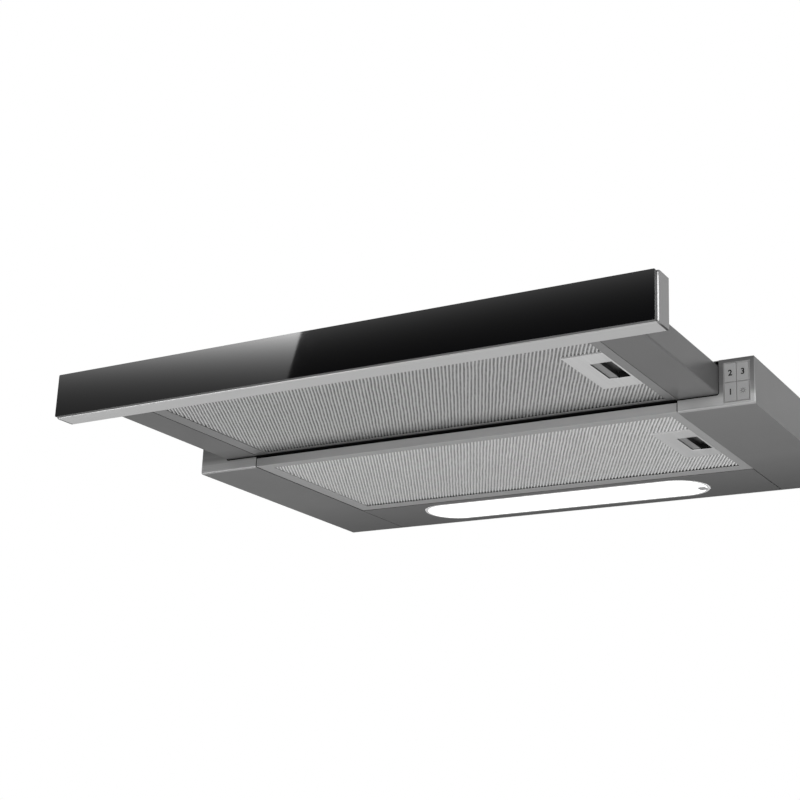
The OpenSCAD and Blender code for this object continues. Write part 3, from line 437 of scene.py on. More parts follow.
def new_finish(name, colour, metallic=0.0, roughness=0.5, **sockets):
    """A Principled material with its plain values set on the shader itself."""
    material = bpy.data.materials.new(name)
    material.use_nodes = True
    tree = material.node_tree
    shader = tree.nodes["Principled BSDF"]
    feed(tree, shader, Base_Color=(*colour, 1), Metallic=metallic, Roughness=roughness, **sockets)
    finishes[name] = material
    return tree, shader


def grain(tree, squeeze, detail=3.0, roughness=0.55):
    """Noise laid out by the place on the object; squeeze is how many grains fit in a metre."""
    where = add(tree, "TexCoord").outputs["Object"]
    place = add(tree, "Mapping", Vector=where, Scale=squeeze)
    pattern = add(tree, "TexNoise", Vector=place, Scale=1.0, Detail=detail, Roughness=roughness)
    return pattern.outputs["Fac"]


def shades(tree, pattern, stops):
    """Turns a pattern into greys; each stop is a place on the pattern and a shade."""
    ramp = add(tree, "ValToRGB", pattern)
    points = ramp.color_ramp.elements
    while len(points) < len(stops):
        points.new(0.5)
    for point, (position, shade) in zip(points, stops):
        point.position = position
        point.color = (shade, shade, shade, 1)
    return ramp.outputs["Color"]


def two_shades(tree, pattern, dark, light):
    return shades(tree, pattern, [(NOISE_LOW, dark), (NOISE_HIGH, light)])


def between(tree, pattern, least, most, start=NOISE_LOW, end=NOISE_HIGH):
    """Turns a pattern into a value from least to most."""
    limits = dict(From_Min=start, From_Max=end, To_Min=least, To_Max=most)
    return add(tree, "MapRange", Value=pattern, **limits).outputs["Result"]


def blend(tree, factor, first, second, kind="MIX"):
    """Mixes two colours, or multiplies them."""
    mix = tree.nodes.new("ShaderNodeMix")
    mix.data_type, mix.blend_type = "RGBA", kind
    return feed(tree, mix, Factor=factor, A=first, B=second).outputs["Result"]


print("ready to mix patterns")

# %% Tools that lay a pattern on a finish
def vary_shade(tree, shader, pattern, shade, contrast):
    """Lets the colour swing about a grey by a share of it."""
    dark, light = shade * (1 - contrast), shade * (1 + contrast)
    feed(tree, shader, Base_Color=two_shades(tree, pattern, dark, light))


def vary_gloss(tree, shader, pattern, middle, swing):
    """Lets the roughness swing about its middle value."""
    feed(tree, shader, Roughness=between(tree, pattern, middle - swing, middle + swing))


def relief(tree, shader, pattern, depth):
    """Bumps the surface by the pattern; depth is in metres."""
    feed(tree, shader, Normal=add(tree, "Bump", Strength=1.0, Distance=depth, Height=pattern))


def dim(name, pattern):
    """Multiplies the colour of a finish by a pattern."""
    tree = finishes[name].node_tree
    colour = tree.nodes["Principled BSDF"].inputs["Base Color"]
    tree.links.new(blend(tree, 1.0, colour.links[0].from_socket, pattern, "MULTIPLY"), colour)


print("ready to mix finishes")

# %% [markdown]
# ### Brushed steel
# The front profile and the fascias are steel that was drawn past a belt, so its fine lines run
# along X. The lines change the shade a little and the roughness more. The frames of the filters are
# brushed aluminium, and the drawer's is a darker copy of the same aluminium, as painted shade. The
# cast end caps, the springs and the rails have a grain that runs no single way.

# %% Mix the brushed steel
ALONG_X = (6.0, 1500.0, 1500.0)
ALONG_Y = (1500.0, 6.0, 1500.0)
CAST_GRAIN, DRAWN_GRAIN = (1100.0,) * 3, (300.0,) * 3
LINE_DETAIL, LINE_GLOSS, LINE_DEPTH = 4.0, 0.07, 0.000004


def brushed(name, shade, squeeze, roughness=0.34, contrast=0.08, metallic=1.0):
    """Metal with fine lines; contrast is how far they leave the shade."""
    tree, shader = new_finish(name, (shade,) * 3, metallic, roughness)
    lines = grain(tree, squeeze, detail=LINE_DETAIL)
    vary_shade(tree, shader, lines, shade, contrast)
    vary_gloss(tree, shader, lines, roughness, LINE_GLOSS)
    relief(tree, shader, lines, LINE_DEPTH)


brushed("panel_steel", 0.49, ALONG_X)
brushed("end_cap_steel", 0.20, CAST_GRAIN, contrast=0.12)
brushed("latch_steel", 0.6, ALONG_Y, roughness=0.36)
brushed("fixed_frame_alu", 0.32, ALONG_X, roughness=0.45, contrast=0.05, metallic=0.6)
# painted shade: a darker copy of the fixed frame's aluminium
brushed("shaded_drawer_frame_alu", 0.19, ALONG_X, roughness=0.45, contrast=0.05, metallic=0.6)
brushed("bright_spring_steel", 0.55, DRAWN_GRAIN, roughness=0.22)
print("finishes", len(finishes))

# %% [markdown]
# ### The fascia's painted shade
# The fascias are brushed too. Painted shade in their colour darkens them upwards from a bright band
# just above the foot, and a little along the fold at the foot itself. A second light could give
# that shade instead, but painted in, it stays on the piece under any light.

# %% Mix the steel with painted shade
HEAD_LEVEL = 42 * MM
# painted shade: the share of the fascia's colour left at each share of its height
FASCIA_SHADE_STOPS = [(0.0, 0.5), (0.036, 0.62), (0.06, 1.0), (0.19, 1.0), (0.33, 0.5), (0.52, 0.4), (1.0, 0.25)]


def paint_shade_by_height(name, stops):
    """Darkens a finish by its height as painted shade; a stop is a share of the height and the
    share left there.
    """
    tree = finishes[name].node_tree
    height = between(tree, object_place(tree)["Z"], 0.0, 1.0, 0.0, HEAD_LEVEL)
    dim(name, shades(tree, height, stops))


brushed("fascia_steel", 0.62, ALONG_X, roughness=0.45, metallic=0.9)
paint_shade_by_height("fascia_steel", FASCIA_SHADE_STOPS)
print("finishes", len(finishes))

# %% [markdown]
# ### Silver lacquer
# The body and the drawer's sides are sheet steel with a silver grey lacquer. Fine flakes in it give
# a faint sparkle, and the spray leaves a very slight orange peel. The photograph shows the lacquer
# darker towards the wall, where less light arrives, so painted shade in the body's colour follows
# the depth a little. A hard lamp close in front could do the same, but it would burn out the drawer
# first. The drawer's sides wear a darker copy of the same lacquer, as painted shade.

# %% Mix the lacquer
FLAKES, CLOUDS, PEEL = (2600.0,) * 3, (9.0,) * 3, (700.0,) * 3
FLAKE_CONTRAST, CLOUD_GLOSS, PEEL_DEPTH = 0.06, 0.04, 0.000006


def lacquer(name, shade, roughness):
    """Sprayed lacquer with fine flakes and a slight orange peel."""
    tree, shader = new_finish(name, (shade,) * 3, 0.15, roughness, Specular_IOR_Level=0.25)
    vary_shade(tree, shader, grain(tree, FLAKES, detail=1.0), shade, FLAKE_CONTRAST)
    vary_gloss(tree, shader, grain(tree, CLOUDS, detail=2.0), roughness, CLOUD_GLOSS)
    relief(tree, shader, grain(tree, PEEL, detail=1.0), PEEL_DEPTH)


def paint_shade_to_wall(name, start, end, share):
    """Paints shade into a finish, darker towards the wall, from one depth to another."""
    tree = finishes[name].node_tree
    dim(name, between(tree, object_place(tree)["Y"], 1.0, share, start, end))


lacquer("body_lacquer", 0.135, roughness=0.36)
# painted shade: the drawer's sides get a darker copy of the body's lacquer
lacquer("shaded_drawer_lacquer", 0.09, roughness=0.33)
lacquer("button_lacquer", 0.22, roughness=0.42)
lacquer("tab_lacquer", 0.42, roughness=0.5)
# painted shade: the body's lacquer darkens over its last part towards the wall
paint_shade_to_wall("body_lacquer", 0.12, 0.25, 0.45)
print("finishes", len(finishes))

# %% [markdown]
# ### Galvanised sheet
# The hidden sheet work keeps its bare zinc coat. Zinc freezes in crystals some millimetres wide,
# each with its own gloss, which a cell pattern repeats.

# %% Mix the zinc coat
CRYSTALS, ZINC_GRAIN, ZINC_DEPTH = 130.0, (420.0,) * 3, 0.000008


def galvanised(name, shade):
    """Zinc in cells, each with its own shade and gloss."""
    tree, shader = new_finish(name, (shade,) * 3, metallic=1.0, roughness=0.4)
    where = add(tree, "TexCoord").outputs["Object"]
    cells = add(tree, "TexVoronoi", Scale=CRYSTALS, Vector=where).outputs["Color"]
    chance = add(tree, "SeparateColor", cells).outputs
    colour = shades(tree, chance[0], [(0.0, shade * 0.84), (1.0, shade * 1.1)])
    gloss = between(tree, chance[1], 0.32, 0.5, start=0.0, end=1.0)
    feed(tree, shader, Base_Color=colour, Roughness=gloss)
    relief(tree, shader, grain(tree, ZINC_GRAIN, detail=2.0), ZINC_DEPTH)


galvanised("zinc_coat", 0.46)
print("finishes", len(finishes))

# %% [markdown]
# ### Plastics, rubber, foam and board
# Moulded plastic carries the fine spark texture of its mould. The shades differ, so one helper
# makes them all. Ink and the black of painted shade in the gaps and pockets are matt, so they get
# less of the shader's mirror layer, which would turn them grey at a low angle.

# %% Mix the moulded finishes
SPARKS, STAINS = (1500.0,) * 3, (25.0,) * 3
SPARK_GLOSS, SPARK_DEPTH, ROUGH_DEPTH = 0.06, 0.000012, 0.00003
STAIN_CONTRAST, MATT = 0.07, 0.08


def moulded(name, shade, roughness, depth=SPARK_DEPTH, **sockets):
    """Plastic, rubber or ink with a fine texture."""
    tree, shader = new_finish(name, (shade,) * 3, roughness=roughness, **sockets)
    texture = grain(tree, SPARKS, detail=2.0)
    vary_shade(tree, shader, grain(tree, STAINS, detail=2.0), shade, STAIN_CONTRAST)
    vary_gloss(tree, shader, texture, roughness, SPARK_GLOSS)
    relief(tree, shader, texture, depth)


moulded("black_plastic", 0.022, 0.45)
moulded("grey_plastic", 0.24, 0.5)
moulded("button_mark_ink", 0.004, 0.8, Specular_IOR_Level=MATT)
moulded("white_board", 0.72, 0.55)
moulded("bumper_rubber", 0.03, 0.75, depth=ROUGH_DEPTH)
# painted shade: the matt black of the pieces that darken gaps and pockets
moulded("painted_shade_black", 0.004, 0.85, depth=ROUGH_DEPTH, Specular_IOR_Level=MATT)
print("finishes", len(finishes))

# %% [markdown]
# ### Filter mesh
# Each filter holds layers of expanded aluminium foil, pressed into ribs. The grooves between the
# ribs are dull and half open. The mesh stores how deep each point lies, and the finish reads that:
# the crests keep the foil's bright shade, and the grooves and pits get painted shade, darker the
# deeper they lie. Both filters hold the same foil, and the drawer's is a darker copy of it, as
# painted shade.

# %% Mix the pressed foil
SPECKLES = (900.0,) * 3


def pressed_foil(name, crest, groove):
    """Foil with bright crests, and dull grooves with painted shade, told apart by the mesh's own
    groove values.
    """
    tree, shader = new_finish(name, (crest,) * 3, metallic=0.85, roughness=0.38)
    stored = add(tree, "Attribute")
    stored.attribute_name = "groove"
    depth = stored.outputs["Fac"]
    speckle = grain(tree, SPECKLES, detail=2.0)
    # painted shade: the colour darkens from crest to groove and pit
    colour = shades(tree, depth, [(0.15, crest), (0.9, groove)])
    gloss = between(tree, depth, 0.34, 0.6, start=0.0, end=1.0)
    feed(tree, shader, Base_Color=colour, Roughness=gloss)
    dim(name, shades(tree, speckle, [(0.35, 0.86), (0.6, 1.0)]))
    relief(tree, shader, speckle, ROUGH_DEPTH)


# painted shade: the drawer's foil is a darker copy of the fixed filter's foil
pressed_foil("shaded_drawer_foil_mesh", 0.65, 0.19)
pressed_foil("fixed_foil_mesh", 0.9, 0.3)
print("finishes", len(finishes))

# %% [markdown]
# ### Latch slides
# The finger tab of each latch slide has a bright metal face, and the rest of the slide, deep in its
# box, is black as painted shade for the pocket. Both belong to one imported piece, so the finish
# tells them apart by height: only what lies level with the tab's lowest face is metal.

# %% Mix the slide's finish
TAB_FACE = 0.25 * MM
# painted shade: the black of the slide deep in its pocket
SLIDE_SHADE_BLACK = (0.012, 0.012, 0.012)


def latch_slide(name, tab_level):
    """Black painted shade that turns to brushed metal at the level of the finger tab's face."""
    tree, shader = new_finish(name, SLIDE_SHADE_BLACK, roughness=0.4)
    start = tab_level + TAB_FACE
    on_tab = between(tree, object_place(tree)["Z"], 1.0, 0.0, start, start + TAB_FACE)
    metal = two_shades(tree, grain(tree, ALONG_Y), 0.2, 0.3)
    colour = blend(tree, on_tab, (*SLIDE_SHADE_BLACK, 1), metal)
    feed(tree, shader, Base_Color=colour, Metallic=on_tab)


for slider in ("fixed_latch_slider", "drawer_latch_slider"):
    latch_slide(slider + "_finish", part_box(slider)[0].z)
print("finishes", len(finishes))

# %% [markdown]
# ### Glass and lamp
# The front is a pane of clear glass that is printed black on its back, so it is black with a
# mirror-smooth skin, and its ground edges are a dull grey. The lamp's lens is an opal diffuser
# that glows, a little less at its rim, where the light is further from the diodes.

# %% Mix the glass and the lens
GRINDING, RIPPLES, HAZE = (30.0, 900.0, 900.0), (160.0,) * 3, (40.0,) * 3
GRINDING_DEPTH = 0.000006


def black_glass(name):
    """Clear glass with black print behind it, as smooth as a mirror."""
    tree, shader = new_finish(name, (0.0012, 0.0012, 0.0014), roughness=0.02, IOR=1.5)
    feed(tree, shader, Roughness=between(tree, grain(tree, HAZE), 0.015, 0.03))


def ground_edge(name):
    """The dull grey of ground glass, with lines along the edge."""
    tree, shader = new_finish(
        name, (0.04, 0.042, 0.042), roughness=0.4, Specular_IOR_Level=0.3
    )
    lines = grain(tree, GRINDING)
    feed(tree, shader, Base_Color=two_shades(tree, lines, 0.03, 0.055))
    relief(tree, shader, lines, GRINDING_DEPTH)


def opal_lens(name, shade, glow):
    """White plastic that lets its lamp's light through."""
    tree, shader = new_finish(
        name, (shade,) * 3, roughness=0.3, Emission_Color=WHITE, Emission_Strength=glow
    )
    ripple = grain(tree, RIPPLES, detail=1.0)
    feed(tree, shader, Base_Color=two_shades(tree, ripple, shade * 0.96, shade * 1.02))


black_glass("front_glass")
ground_edge("glass_edge")
opal_lens("lamp_opal", 0.9, 1.3)
opal_lens("lamp_rim_white", 0.5, 0.24)
print("finishes", len(finishes))

# %% [markdown]
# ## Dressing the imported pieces
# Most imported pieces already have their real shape, so they only take a finish. Real sheet metal
# has no razor edges, so a small rounding is added: the triangles are first joined at their shared
# corners and then the sharp edges are rounded.

# %% Give each piece its finish
KEYS = ["button_one", "button_two", "button_three", "button_light"]
WEARS = {
    "panel_steel": ["panel_profile"],
    "end_cap_steel": ["panel_end_caps"],
    "fascia_steel": ["fascia_left", "fascia_right"],
    "body_lacquer": ["side_channel_left", "side_channel_right", "lamp_panel"],
    "shaded_drawer_lacquer": ["drawer_side_left", "drawer_side_right"],
    "zinc_coat": [
        "top_plate", "back_wall", "rail_brackets", "tower_casing", "tower_lid", "drawer_front_bar",
        "drawer_rear_bar", "drawer_cover", "motor_housing",
    ],
    "bright_spring_steel": [
        "rails_fixed", "rail_mid_left", "rail_mid_right", "rails_inner", "fixed_latch_spring",
        "drawer_latch_spring", "tower_screws", "rotor_shaft", "flap_pin", "button_springs",
        "panel_screws",
    ],
    "fixed_frame_alu": ["fixed_filter_frame"],
    "shaded_drawer_frame_alu": ["drawer_filter_frame"],
    "fixed_foil_mesh": ["fixed_filter_mesh"],
    "shaded_drawer_foil_mesh": ["drawer_filter_mesh"],
    "latch_steel": ["fixed_latch_housing", "drawer_latch_housing"],
    "fixed_latch_slider_finish": ["fixed_latch_slider"],
    "drawer_latch_slider_finish": ["drawer_latch_slider"],
    "front_glass": ["panel_glass"],
    "black_plastic": [
        "lamp_driver", "scroll_base", "scroll_cover", "cable_gland", "outlet_collar",
        "switch_block", "reed_switch", "drawer_magnet",
    ],
    "grey_plastic": ["lamp_housing", "terminal_box", "flap_front", "flap_rear", "impeller"],
    "button_lacquer": ["button_bezel", *KEYS],
    "lamp_opal": ["lamp_lens"],
    "white_board": ["led_board", "capacitor"],
    "bumper_rubber": ["bumpers"],
}


def wear(piece, finish):
    piece.data.materials.clear()
    piece.data.materials.append(finishes[finish])


for finish, nodes in WEARS.items():
    for node in nodes:
        wear(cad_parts[node], finish)
dressed = {node for nodes in WEARS.values() for node in nodes}
left = sorted(set(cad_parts) - dressed)
print("dressed", len(dressed), "of", len(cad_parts), "left", left)

# %% Round the edges of the visible sheet work
ROUNDED = {
    0.35 * MM: [
        "side_channel_left", "side_channel_right", "lamp_panel", "drawer_side_left",
        "drawer_side_right",
    ],
    0.3 * MM: ["fixed_filter_frame", "drawer_filter_frame"],
    0.55 * MM: ["fixed_latch_housing", "drawer_latch_housing"],
    0.25 * MM: [*KEYS, "button_bezel"],
    0.4 * MM: ["tower_casing", "tower_lid", "terminal_box", "top_plate"],
}
JOIN_WITHIN, SHARP = 0.01 * MM, math.radians(40)


def round_edges(node, radius):
    """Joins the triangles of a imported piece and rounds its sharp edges."""
    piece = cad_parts[node]
    piece.modifiers.new("join_corners", "WELD").merge_threshold = JOIN_WITHIN
    bevel = piece.modifiers.new("round_edges", "BEVEL")
    bevel.width = radius
    bevel.segments = 2
    bevel.limit_method = "ANGLE"
    bevel.angle_limit = SHARP
    bevel.harden_normals = False
    piece.modifiers.new("even_shading", "WEIGHTED_NORMAL")


for radius, nodes in ROUNDED.items():
    for node in nodes:
        round_edges(node, radius)
print("rounded", sum(len(n) for n in ROUNDED.values()), "pieces")

# %% [markdown]
# ## The pressed filter mesh
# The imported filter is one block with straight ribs. The real face is thin foil, slit and pulled
# into a net and then pressed into ribs, so each rib wanders a little and its grooves are full of
# small openings. One way is a bump map, but the ribs are as wide as a pen line and the camera is
# close, so they are modelled: a fine sheet of points is laid over the window and each point is
# raised by the rib's wave, a slow wander and the row of pits in the groove. The sheet is then
# trimmed to the window, cut out for the latch and closed behind.

# %% Tools for making pieces
def make_piece(name, body):
    """Turns a worked body into a piece of the scene, with all its faces looking outwards."""
    bmesh.ops.recalc_face_normals(body, faces=body.faces)
    mesh = bpy.data.meshes.new(name)
    body.to_mesh(mesh)
    body.free()
    piece = bpy.data.objects.new(name, mesh)
    scene.collection.objects.link(piece)
    return piece


def spread(start, end, step):
    """Evenly spaced places from start to end."""
    count = max(1, round((end - start) / step))
    return [start + (end - start) * i / count for i in range(count + 1)]


print("ready to make pieces")

# %% Work out how high a point of the foil stands
RIB_PITCH, RIB_DEPTH = 3.12 * MM, 1.2 * MM
RIB_TURN = math.radians(28.9)
WANDER, WANDER_ACROSS, WANDER_ALONG = 0.12, 90, 45
CRUSH, CRUSH_SQUEEZE = 0.05, 400
PIT_PITCH, PIT_DEPTH, PIT_START = 3.4 * MM, 0.7 * MM, 0.35
GROOVE_SHARE, PIT_SHARE = 0.8, 0.9


def pit_depth(groove, rib, along, seed):
    """How deep the row of pits in a groove goes here, from 0 to 1."""
    shift = noise.cell(Vector((rib + 0.5, seed, 0))) * PIT_PITCH
    place = (along + shift) / PIT_PITCH
    here = noise.cell(Vector((rib + 0.5, math.floor(place + 0.5), seed)))
    bowl = (0.5 + 0.5 * math.cos(2 * math.pi * place)) ** 2
    return max(0.0, groove - PIT_START) / (1 - PIT_START) * bowl * abs(here)


def rib_height(across, along, seed):
    """Height above the lowest plane, and how deep in the groove a point lies from 0 to 1."""
    wander = noise.noise(Vector((across * WANDER_ACROSS, along * WANDER_ALONG, seed))) * WANDER
    turn = across / RIB_PITCH + wander
    groove = 0.5 - 0.5 * math.cos(2 * math.pi * turn)
    pit = pit_depth(groove, math.floor(turn), along, seed)
    place = Vector((across * CRUSH_SQUEEZE, along * CRUSH_SQUEEZE, seed + 7))
    crush = noise.noise(place) * CRUSH
    height = RIB_DEPTH * min(1.0, max(0.0, groove + crush * (1 - groove))) + PIT_DEPTH * pit
    return height, groove * GROOVE_SHARE + pit * PIT_SHARE


print("ribs in 100 mm", round(100 * MM / RIB_PITCH))

# %% Lay the sheet of foil
POINTS_PER_RIB = 6
ROW_STEP = 1.7 * MM
LEAN = math.tan(RIB_TURN)


def lay_sheet(sheet, deep, lowest, highest, seed):
    """Lays points in rows across the window, in columns that lean with the ribs."""
    middle = (lowest + highest) / 2
    reach = LEAN * (highest.y - lowest.y) / 2
    step = RIB_PITCH / math.cos(RIB_TURN) / POINTS_PER_RIB
    columns = spread(lowest.x - reach, highest.x + reach, step)
    points = []
    for y in spread(lowest.y, highest.y, ROW_STEP):
        back = y - middle.y
        line = []
        for column in columns:
            right = column - middle.x
            across = right * math.cos(RIB_TURN)
            along = back / math.cos(RIB_TURN) - right * math.sin(RIB_TURN)
            rise, groove = rib_height(across, along, seed)
            point = sheet.verts.new((column - LEAN * back, y, lowest.z + rise))
            point[deep] = groove
            line.append(point)
        points.append(line)
    for near, far in zip(points, points[1:]):
        for i in range(len(columns) - 1):
            sheet.faces.new((near[i], far[i], far[i + 1], near[i + 1])).smooth = True


print("points across a rib", POINTS_PER_RIB)

# %% Trim and close the sheet
CUT_WITHIN = 1e-7
SKIRT_GROOVE = 0.9


def cut_at(sheet, place, normal, drop=False):
    """Cuts the sheet along a plane, and drops what lies on the normal's side where asked."""
    everything = sheet.verts[:] + sheet.edges[:] + sheet.faces[:]
    bmesh.ops.bisect_plane(
        sheet, geom=everything, dist=CUT_WITHIN, plane_co=place, plane_no=normal, clear_outer=drop
    )


def trim_sheet(sheet, lowest, highest, latch_low, latch_high):
    """Cuts the sheet to the window and takes out the place of the latch's box."""
    cut_at(sheet, lowest, (-1, 0, 0), drop=True)
    cut_at(sheet, highest, (1, 0, 0), drop=True)
    for place, normal in ((latch_low, (1, 0, 0)), (latch_low, (0, 1, 0)), (latch_high, (0, 1, 0))):
        cut_at(sheet, place, normal)
    over_latch = []
    for face in sheet.faces:
        centre = face.calc_center_median()
        if centre.x > latch_low.x and latch_low.y < centre.y < latch_high.y:
            over_latch.append(face)
    bmesh.ops.delete(sheet, geom=over_latch, context="FACES")


def close_sheet(sheet, deep, level):
    """Turns the sheet into a closed slab with a flat back at the level."""
    bare = [v for v in sheet.verts if not v.link_faces]
    bmesh.ops.delete(sheet, geom=bare, context="VERTS")
    rim = [edge for edge in sheet.edges if edge.is_boundary]
    skirt = bmesh.ops.extrude_edge_only(sheet, edges=rim)["geom"]
    for point in [g for g in skirt if isinstance(g, bmesh.types.BMVert)]:
        point.co.z = level
        point[deep] = SKIRT_GROOVE
    top_edges = [g for g in skirt if isinstance(g, bmesh.types.BMEdge)]
    bmesh.ops.triangle_fill(sheet, edges=top_edges, use_beauty=False, use_dissolve=False)


print("ready to trim")

# %% Press both meshes
FRAME_SHEET = 0.8 * MM
FRAME_LEFT, FRAME_RIGHT = 14 * MM, 9 * MM
FLAT_GROOVE = 0.2


def press_mesh(name, node, housing, finish, seed):
    """A closed slab of foil with ribs on its lower face and room for the latch's box."""
    lowest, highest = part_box(node)
    latch_low, latch_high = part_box(housing)
    sheet = bmesh.new()
    deep = sheet.verts.layers.float.new("groove")
    lay_sheet(sheet, deep, lowest, highest, seed)
    trim_sheet(sheet, lowest, highest, latch_low, latch_high)
    rib_start = lowest.x + FRAME_LEFT - FRAME_SHEET
    rib_end = highest.x - FRAME_RIGHT + FRAME_SHEET
    for point in sheet.verts:
        if not rib_start < point.co.x < rib_end:
            point.co.z, point[deep] = lowest.z, FLAT_GROOVE
    close_sheet(sheet, deep, highest.z)
    piece = make_piece(name, sheet)
    wear(piece, finish)
    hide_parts(node)
    print(name, "faces", len(piece.data.polygons))
    return piece


fixed_foil = press_mesh(
    "fixed_foil", "fixed_filter_mesh", "fixed_latch_housing", "fixed_foil_mesh", 3.0
)
drawer_foil = press_mesh(
    "drawer_foil", "drawer_filter_mesh", "drawer_latch_housing", "shaded_drawer_foil_mesh", 11.0
)
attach(fixed_foil, "body")
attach(drawer_foil, "drawer")

# %% [markdown]
# ## The front glass
# The pane is 4 mm thick with ground and slightly broken edges. It is built from two rounded
# outlines, one for each face, joined by a band that carries the grey ground finish. A plain box
# would show a razor edge, and the thin light line round the pane is what makes it read as glass.

# %% Tools for bodies made of loops
CORNER_STEPS = 5


def rounded_outline(x0, z0, x1, z1, radius):
    """Points round a rectangle with rounded corners, as pairs of places across and up."""
    outline = []
    for cx, cz, first in ((x1, z1, 0), (x0, z1, 90), (x0, z0, 180), (x1, z0, 270)):
        ox = cx - math.copysign(radius, cx - (x0 + x1) / 2)
        oz = cz - math.copysign(radius, cz - (z0 + z1) / 2)
        for i in range(CORNER_STEPS + 1):
            angle = math.radians(first + 90 * i / CORNER_STEPS)
            outline.append((ox + radius * math.cos(angle), oz + radius * math.sin(angle)))
    return outline


def add_loft(body, outlines, ring=False, smooth=False):
    """Joins each outline to the next by a band of faces; the ends are closed or meet in a ring."""
    loops = [[body.verts.new(point) for point in outline] for outline in outlines]
    if ring:
        loops.append(loops[0])
    else:
        body.faces.new(loops[0])
        body.faces.new(loops[-1])
    for first, second in zip(loops, loops[1:]):
        for i in range(len(first)):
            j = (i + 1) % len(first)
            body.faces.new((first[i], first[j], second[j], second[i])).smooth = smooth


def loft(name, outlines, **how):
    body = bmesh.new()
    add_loft(body, outlines, **how)
    return make_piece(name, body)


print("ready to loft")

# %% Cut and grind the pane
PANE_CORNER, PANE_ARRIS = 0.8 * MM, 0.2 * MM
FACING = 0.9


def pane_outline(inset, radius):
    return rounded_outline(
        glass_low.x + inset, glass_low.z + inset, glass_high.x - inset, glass_high.z - inset, radius
    )


def cut_pane():
    """A pane with broken edges; only its two large faces are polished."""
    inner, outer = pane_outline(PANE_ARRIS, PANE_CORNER), pane_outline(0, PANE_CORNER + PANE_ARRIS)
    rings = [
        (glass_low.y, inner),
        (glass_low.y + PANE_ARRIS, outer),
        (glass_high.y - PANE_ARRIS, outer),
        (glass_high.y, inner),
    ]
    pane = loft("front_pane", [[(x, y, z) for x, z in outline] for y, outline in rings])
    pane.data.materials.append(finishes["front_glass"])
    pane.data.materials.append(finishes["glass_edge"])
    for face in pane.data.polygons:
        face.material_index = 0 if abs(face.normal.y) > FACING else 1
    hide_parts("panel_glass")
    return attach(pane, "drawer")


pane = cut_pane()
print("pane faces", len(pane.data.polygons))

# %% [markdown]
# ## The end caps of the panel
# Each end of the steel profile is closed by a cast cap. Its upright front edge is rounded and
# polished by hand, and it shows as a white line beside the glass. A bevel would have to fit between
# the short facets of the cap's own corners, so the cap is lofted instead: the same outline is laid
# several times along X and pulled in along a quarter circle at the outer end.

# %% Loft the two caps
CAP_ROUND, CAP_EDGE = 1.3 * MM, 0.15 * MM
PANEL_RADIUS = 1.5 * MM
CAP_STEPS = 6


def cap_outline(front, back, foot, head, radius):
    """The panel's section in Y and Z, with its two front edges rounded."""
    outline = [(back, foot), (back, head)]
    for z, turn in ((head - radius, 1), (foot + radius, -1)):
        for i in range(CAP_STEPS + 1):
            angle = math.pi / 2 * i / CAP_STEPS
            swing = angle if turn > 0 else math.pi / 2 - angle
            y = front + radius - radius * math.sin(swing)
            outline.append((y, z + turn * radius * math.cos(swing)))
    return outline


def loft_cap(name, side):
    """A cap from outlines laid along X, pulled in along a quarter circle at the outer end."""
    lowest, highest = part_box("panel_end_caps")
    thickness = highest.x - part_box("panel_profile")[1].x
    outlines = []
    for i in range(-1, CAP_STEPS + 1):
        angle = math.pi / 2 * max(i, 0) / CAP_STEPS
        front_in, edge_in = (size * (1 - math.cos(angle)) for size in (CAP_ROUND, CAP_EDGE))
        x = highest.x - (thickness if i < 0 else CAP_ROUND * (1 - math.sin(angle)))
        outline = cap_outline(
            lowest.y + front_in, highest.y - edge_in, lowest.z + edge_in, highest.z - edge_in,
            PANEL_RADIUS - edge_in,
        )
        outlines.append([(side * x, y, z) for y, z in outline])
    cap = loft(name, outlines, smooth=True)
    wear(cap, "end_cap_steel")
    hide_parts("panel_end_caps")
    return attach(cap, "drawer")


for side, name in ((1, "end_cap_right"), (-1, "end_cap_left")):
    loft_cap(name, side)
print("end caps", 2)

# %% [markdown]
# ## The painted shade in the gaps
# Round the drawer's slot and along the seam beside the fixed filter the photograph shows a black
# line, the shade that falls in the gap. A thin black strip laid there is painted shade; without it
# the gap shows lit sheet. It is one outline that follows the slot and turns down the seam, about
# half a millimetre thick beside the slot and a whole one on the sill, and it is carried back a
# little way.

# %% Make flat outlines into solid pieces
def extrude_outline(name, outline, place, axis, length):
    """A closed body from a flat outline; place turns its two numbers into a point of the object."""
    first = [Vector(place(u, v)) for u, v in outline]
    return loft(name, [first, [point + Vector(axis) * length for point in first]])


print("ready to extrude")

# %% Lay the black strips of painted shade
UPRIGHT, SILL, SLOT_CORNER = 31.7 * MM, 10.9 * MM, 2.5 * MM
STRIP_SIDE, STRIP_SILL, STRIP_SETBACK, STRIP_DEPTH = 0.45 * MM, 1.1 * MM, 0.2 * MM, 12 * MM
STRIP_BELOW_TOP, STRIP_FOOT = 1.2 * MM, 0.9 * MM
CORNER_DEGREES = range(0, 91, 15)
fascia_low, fascia_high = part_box("fascia_right")


def slot_path(side_grow, sill_grow):
    """The slot's edge from its top, round its lower corner, along the sill and down the seam."""
    inner = fascia_high.x - UPRIGHT
    wide, tall = SLOT_CORNER - side_grow, SLOT_CORNER - sill_grow
    path = [(inner - side_grow, fascia_high.z - STRIP_BELOW_TOP)]
    for angle in map(math.radians, CORNER_DEGREES):
        across = inner - SLOT_CORNER + wide * math.cos(angle)
        path.append((across, SILL + SLOT_CORNER - tall * math.sin(angle)))
    seam = fascia_low.x - side_grow
    return [*path, (seam, SILL + sill_grow), (seam, STRIP_FOOT)]


strip_outline = slot_path(0, 0) + slot_path(STRIP_SIDE, STRIP_SILL)[::-1]
strip_front = fascia_low.y + STRIP_SETBACK
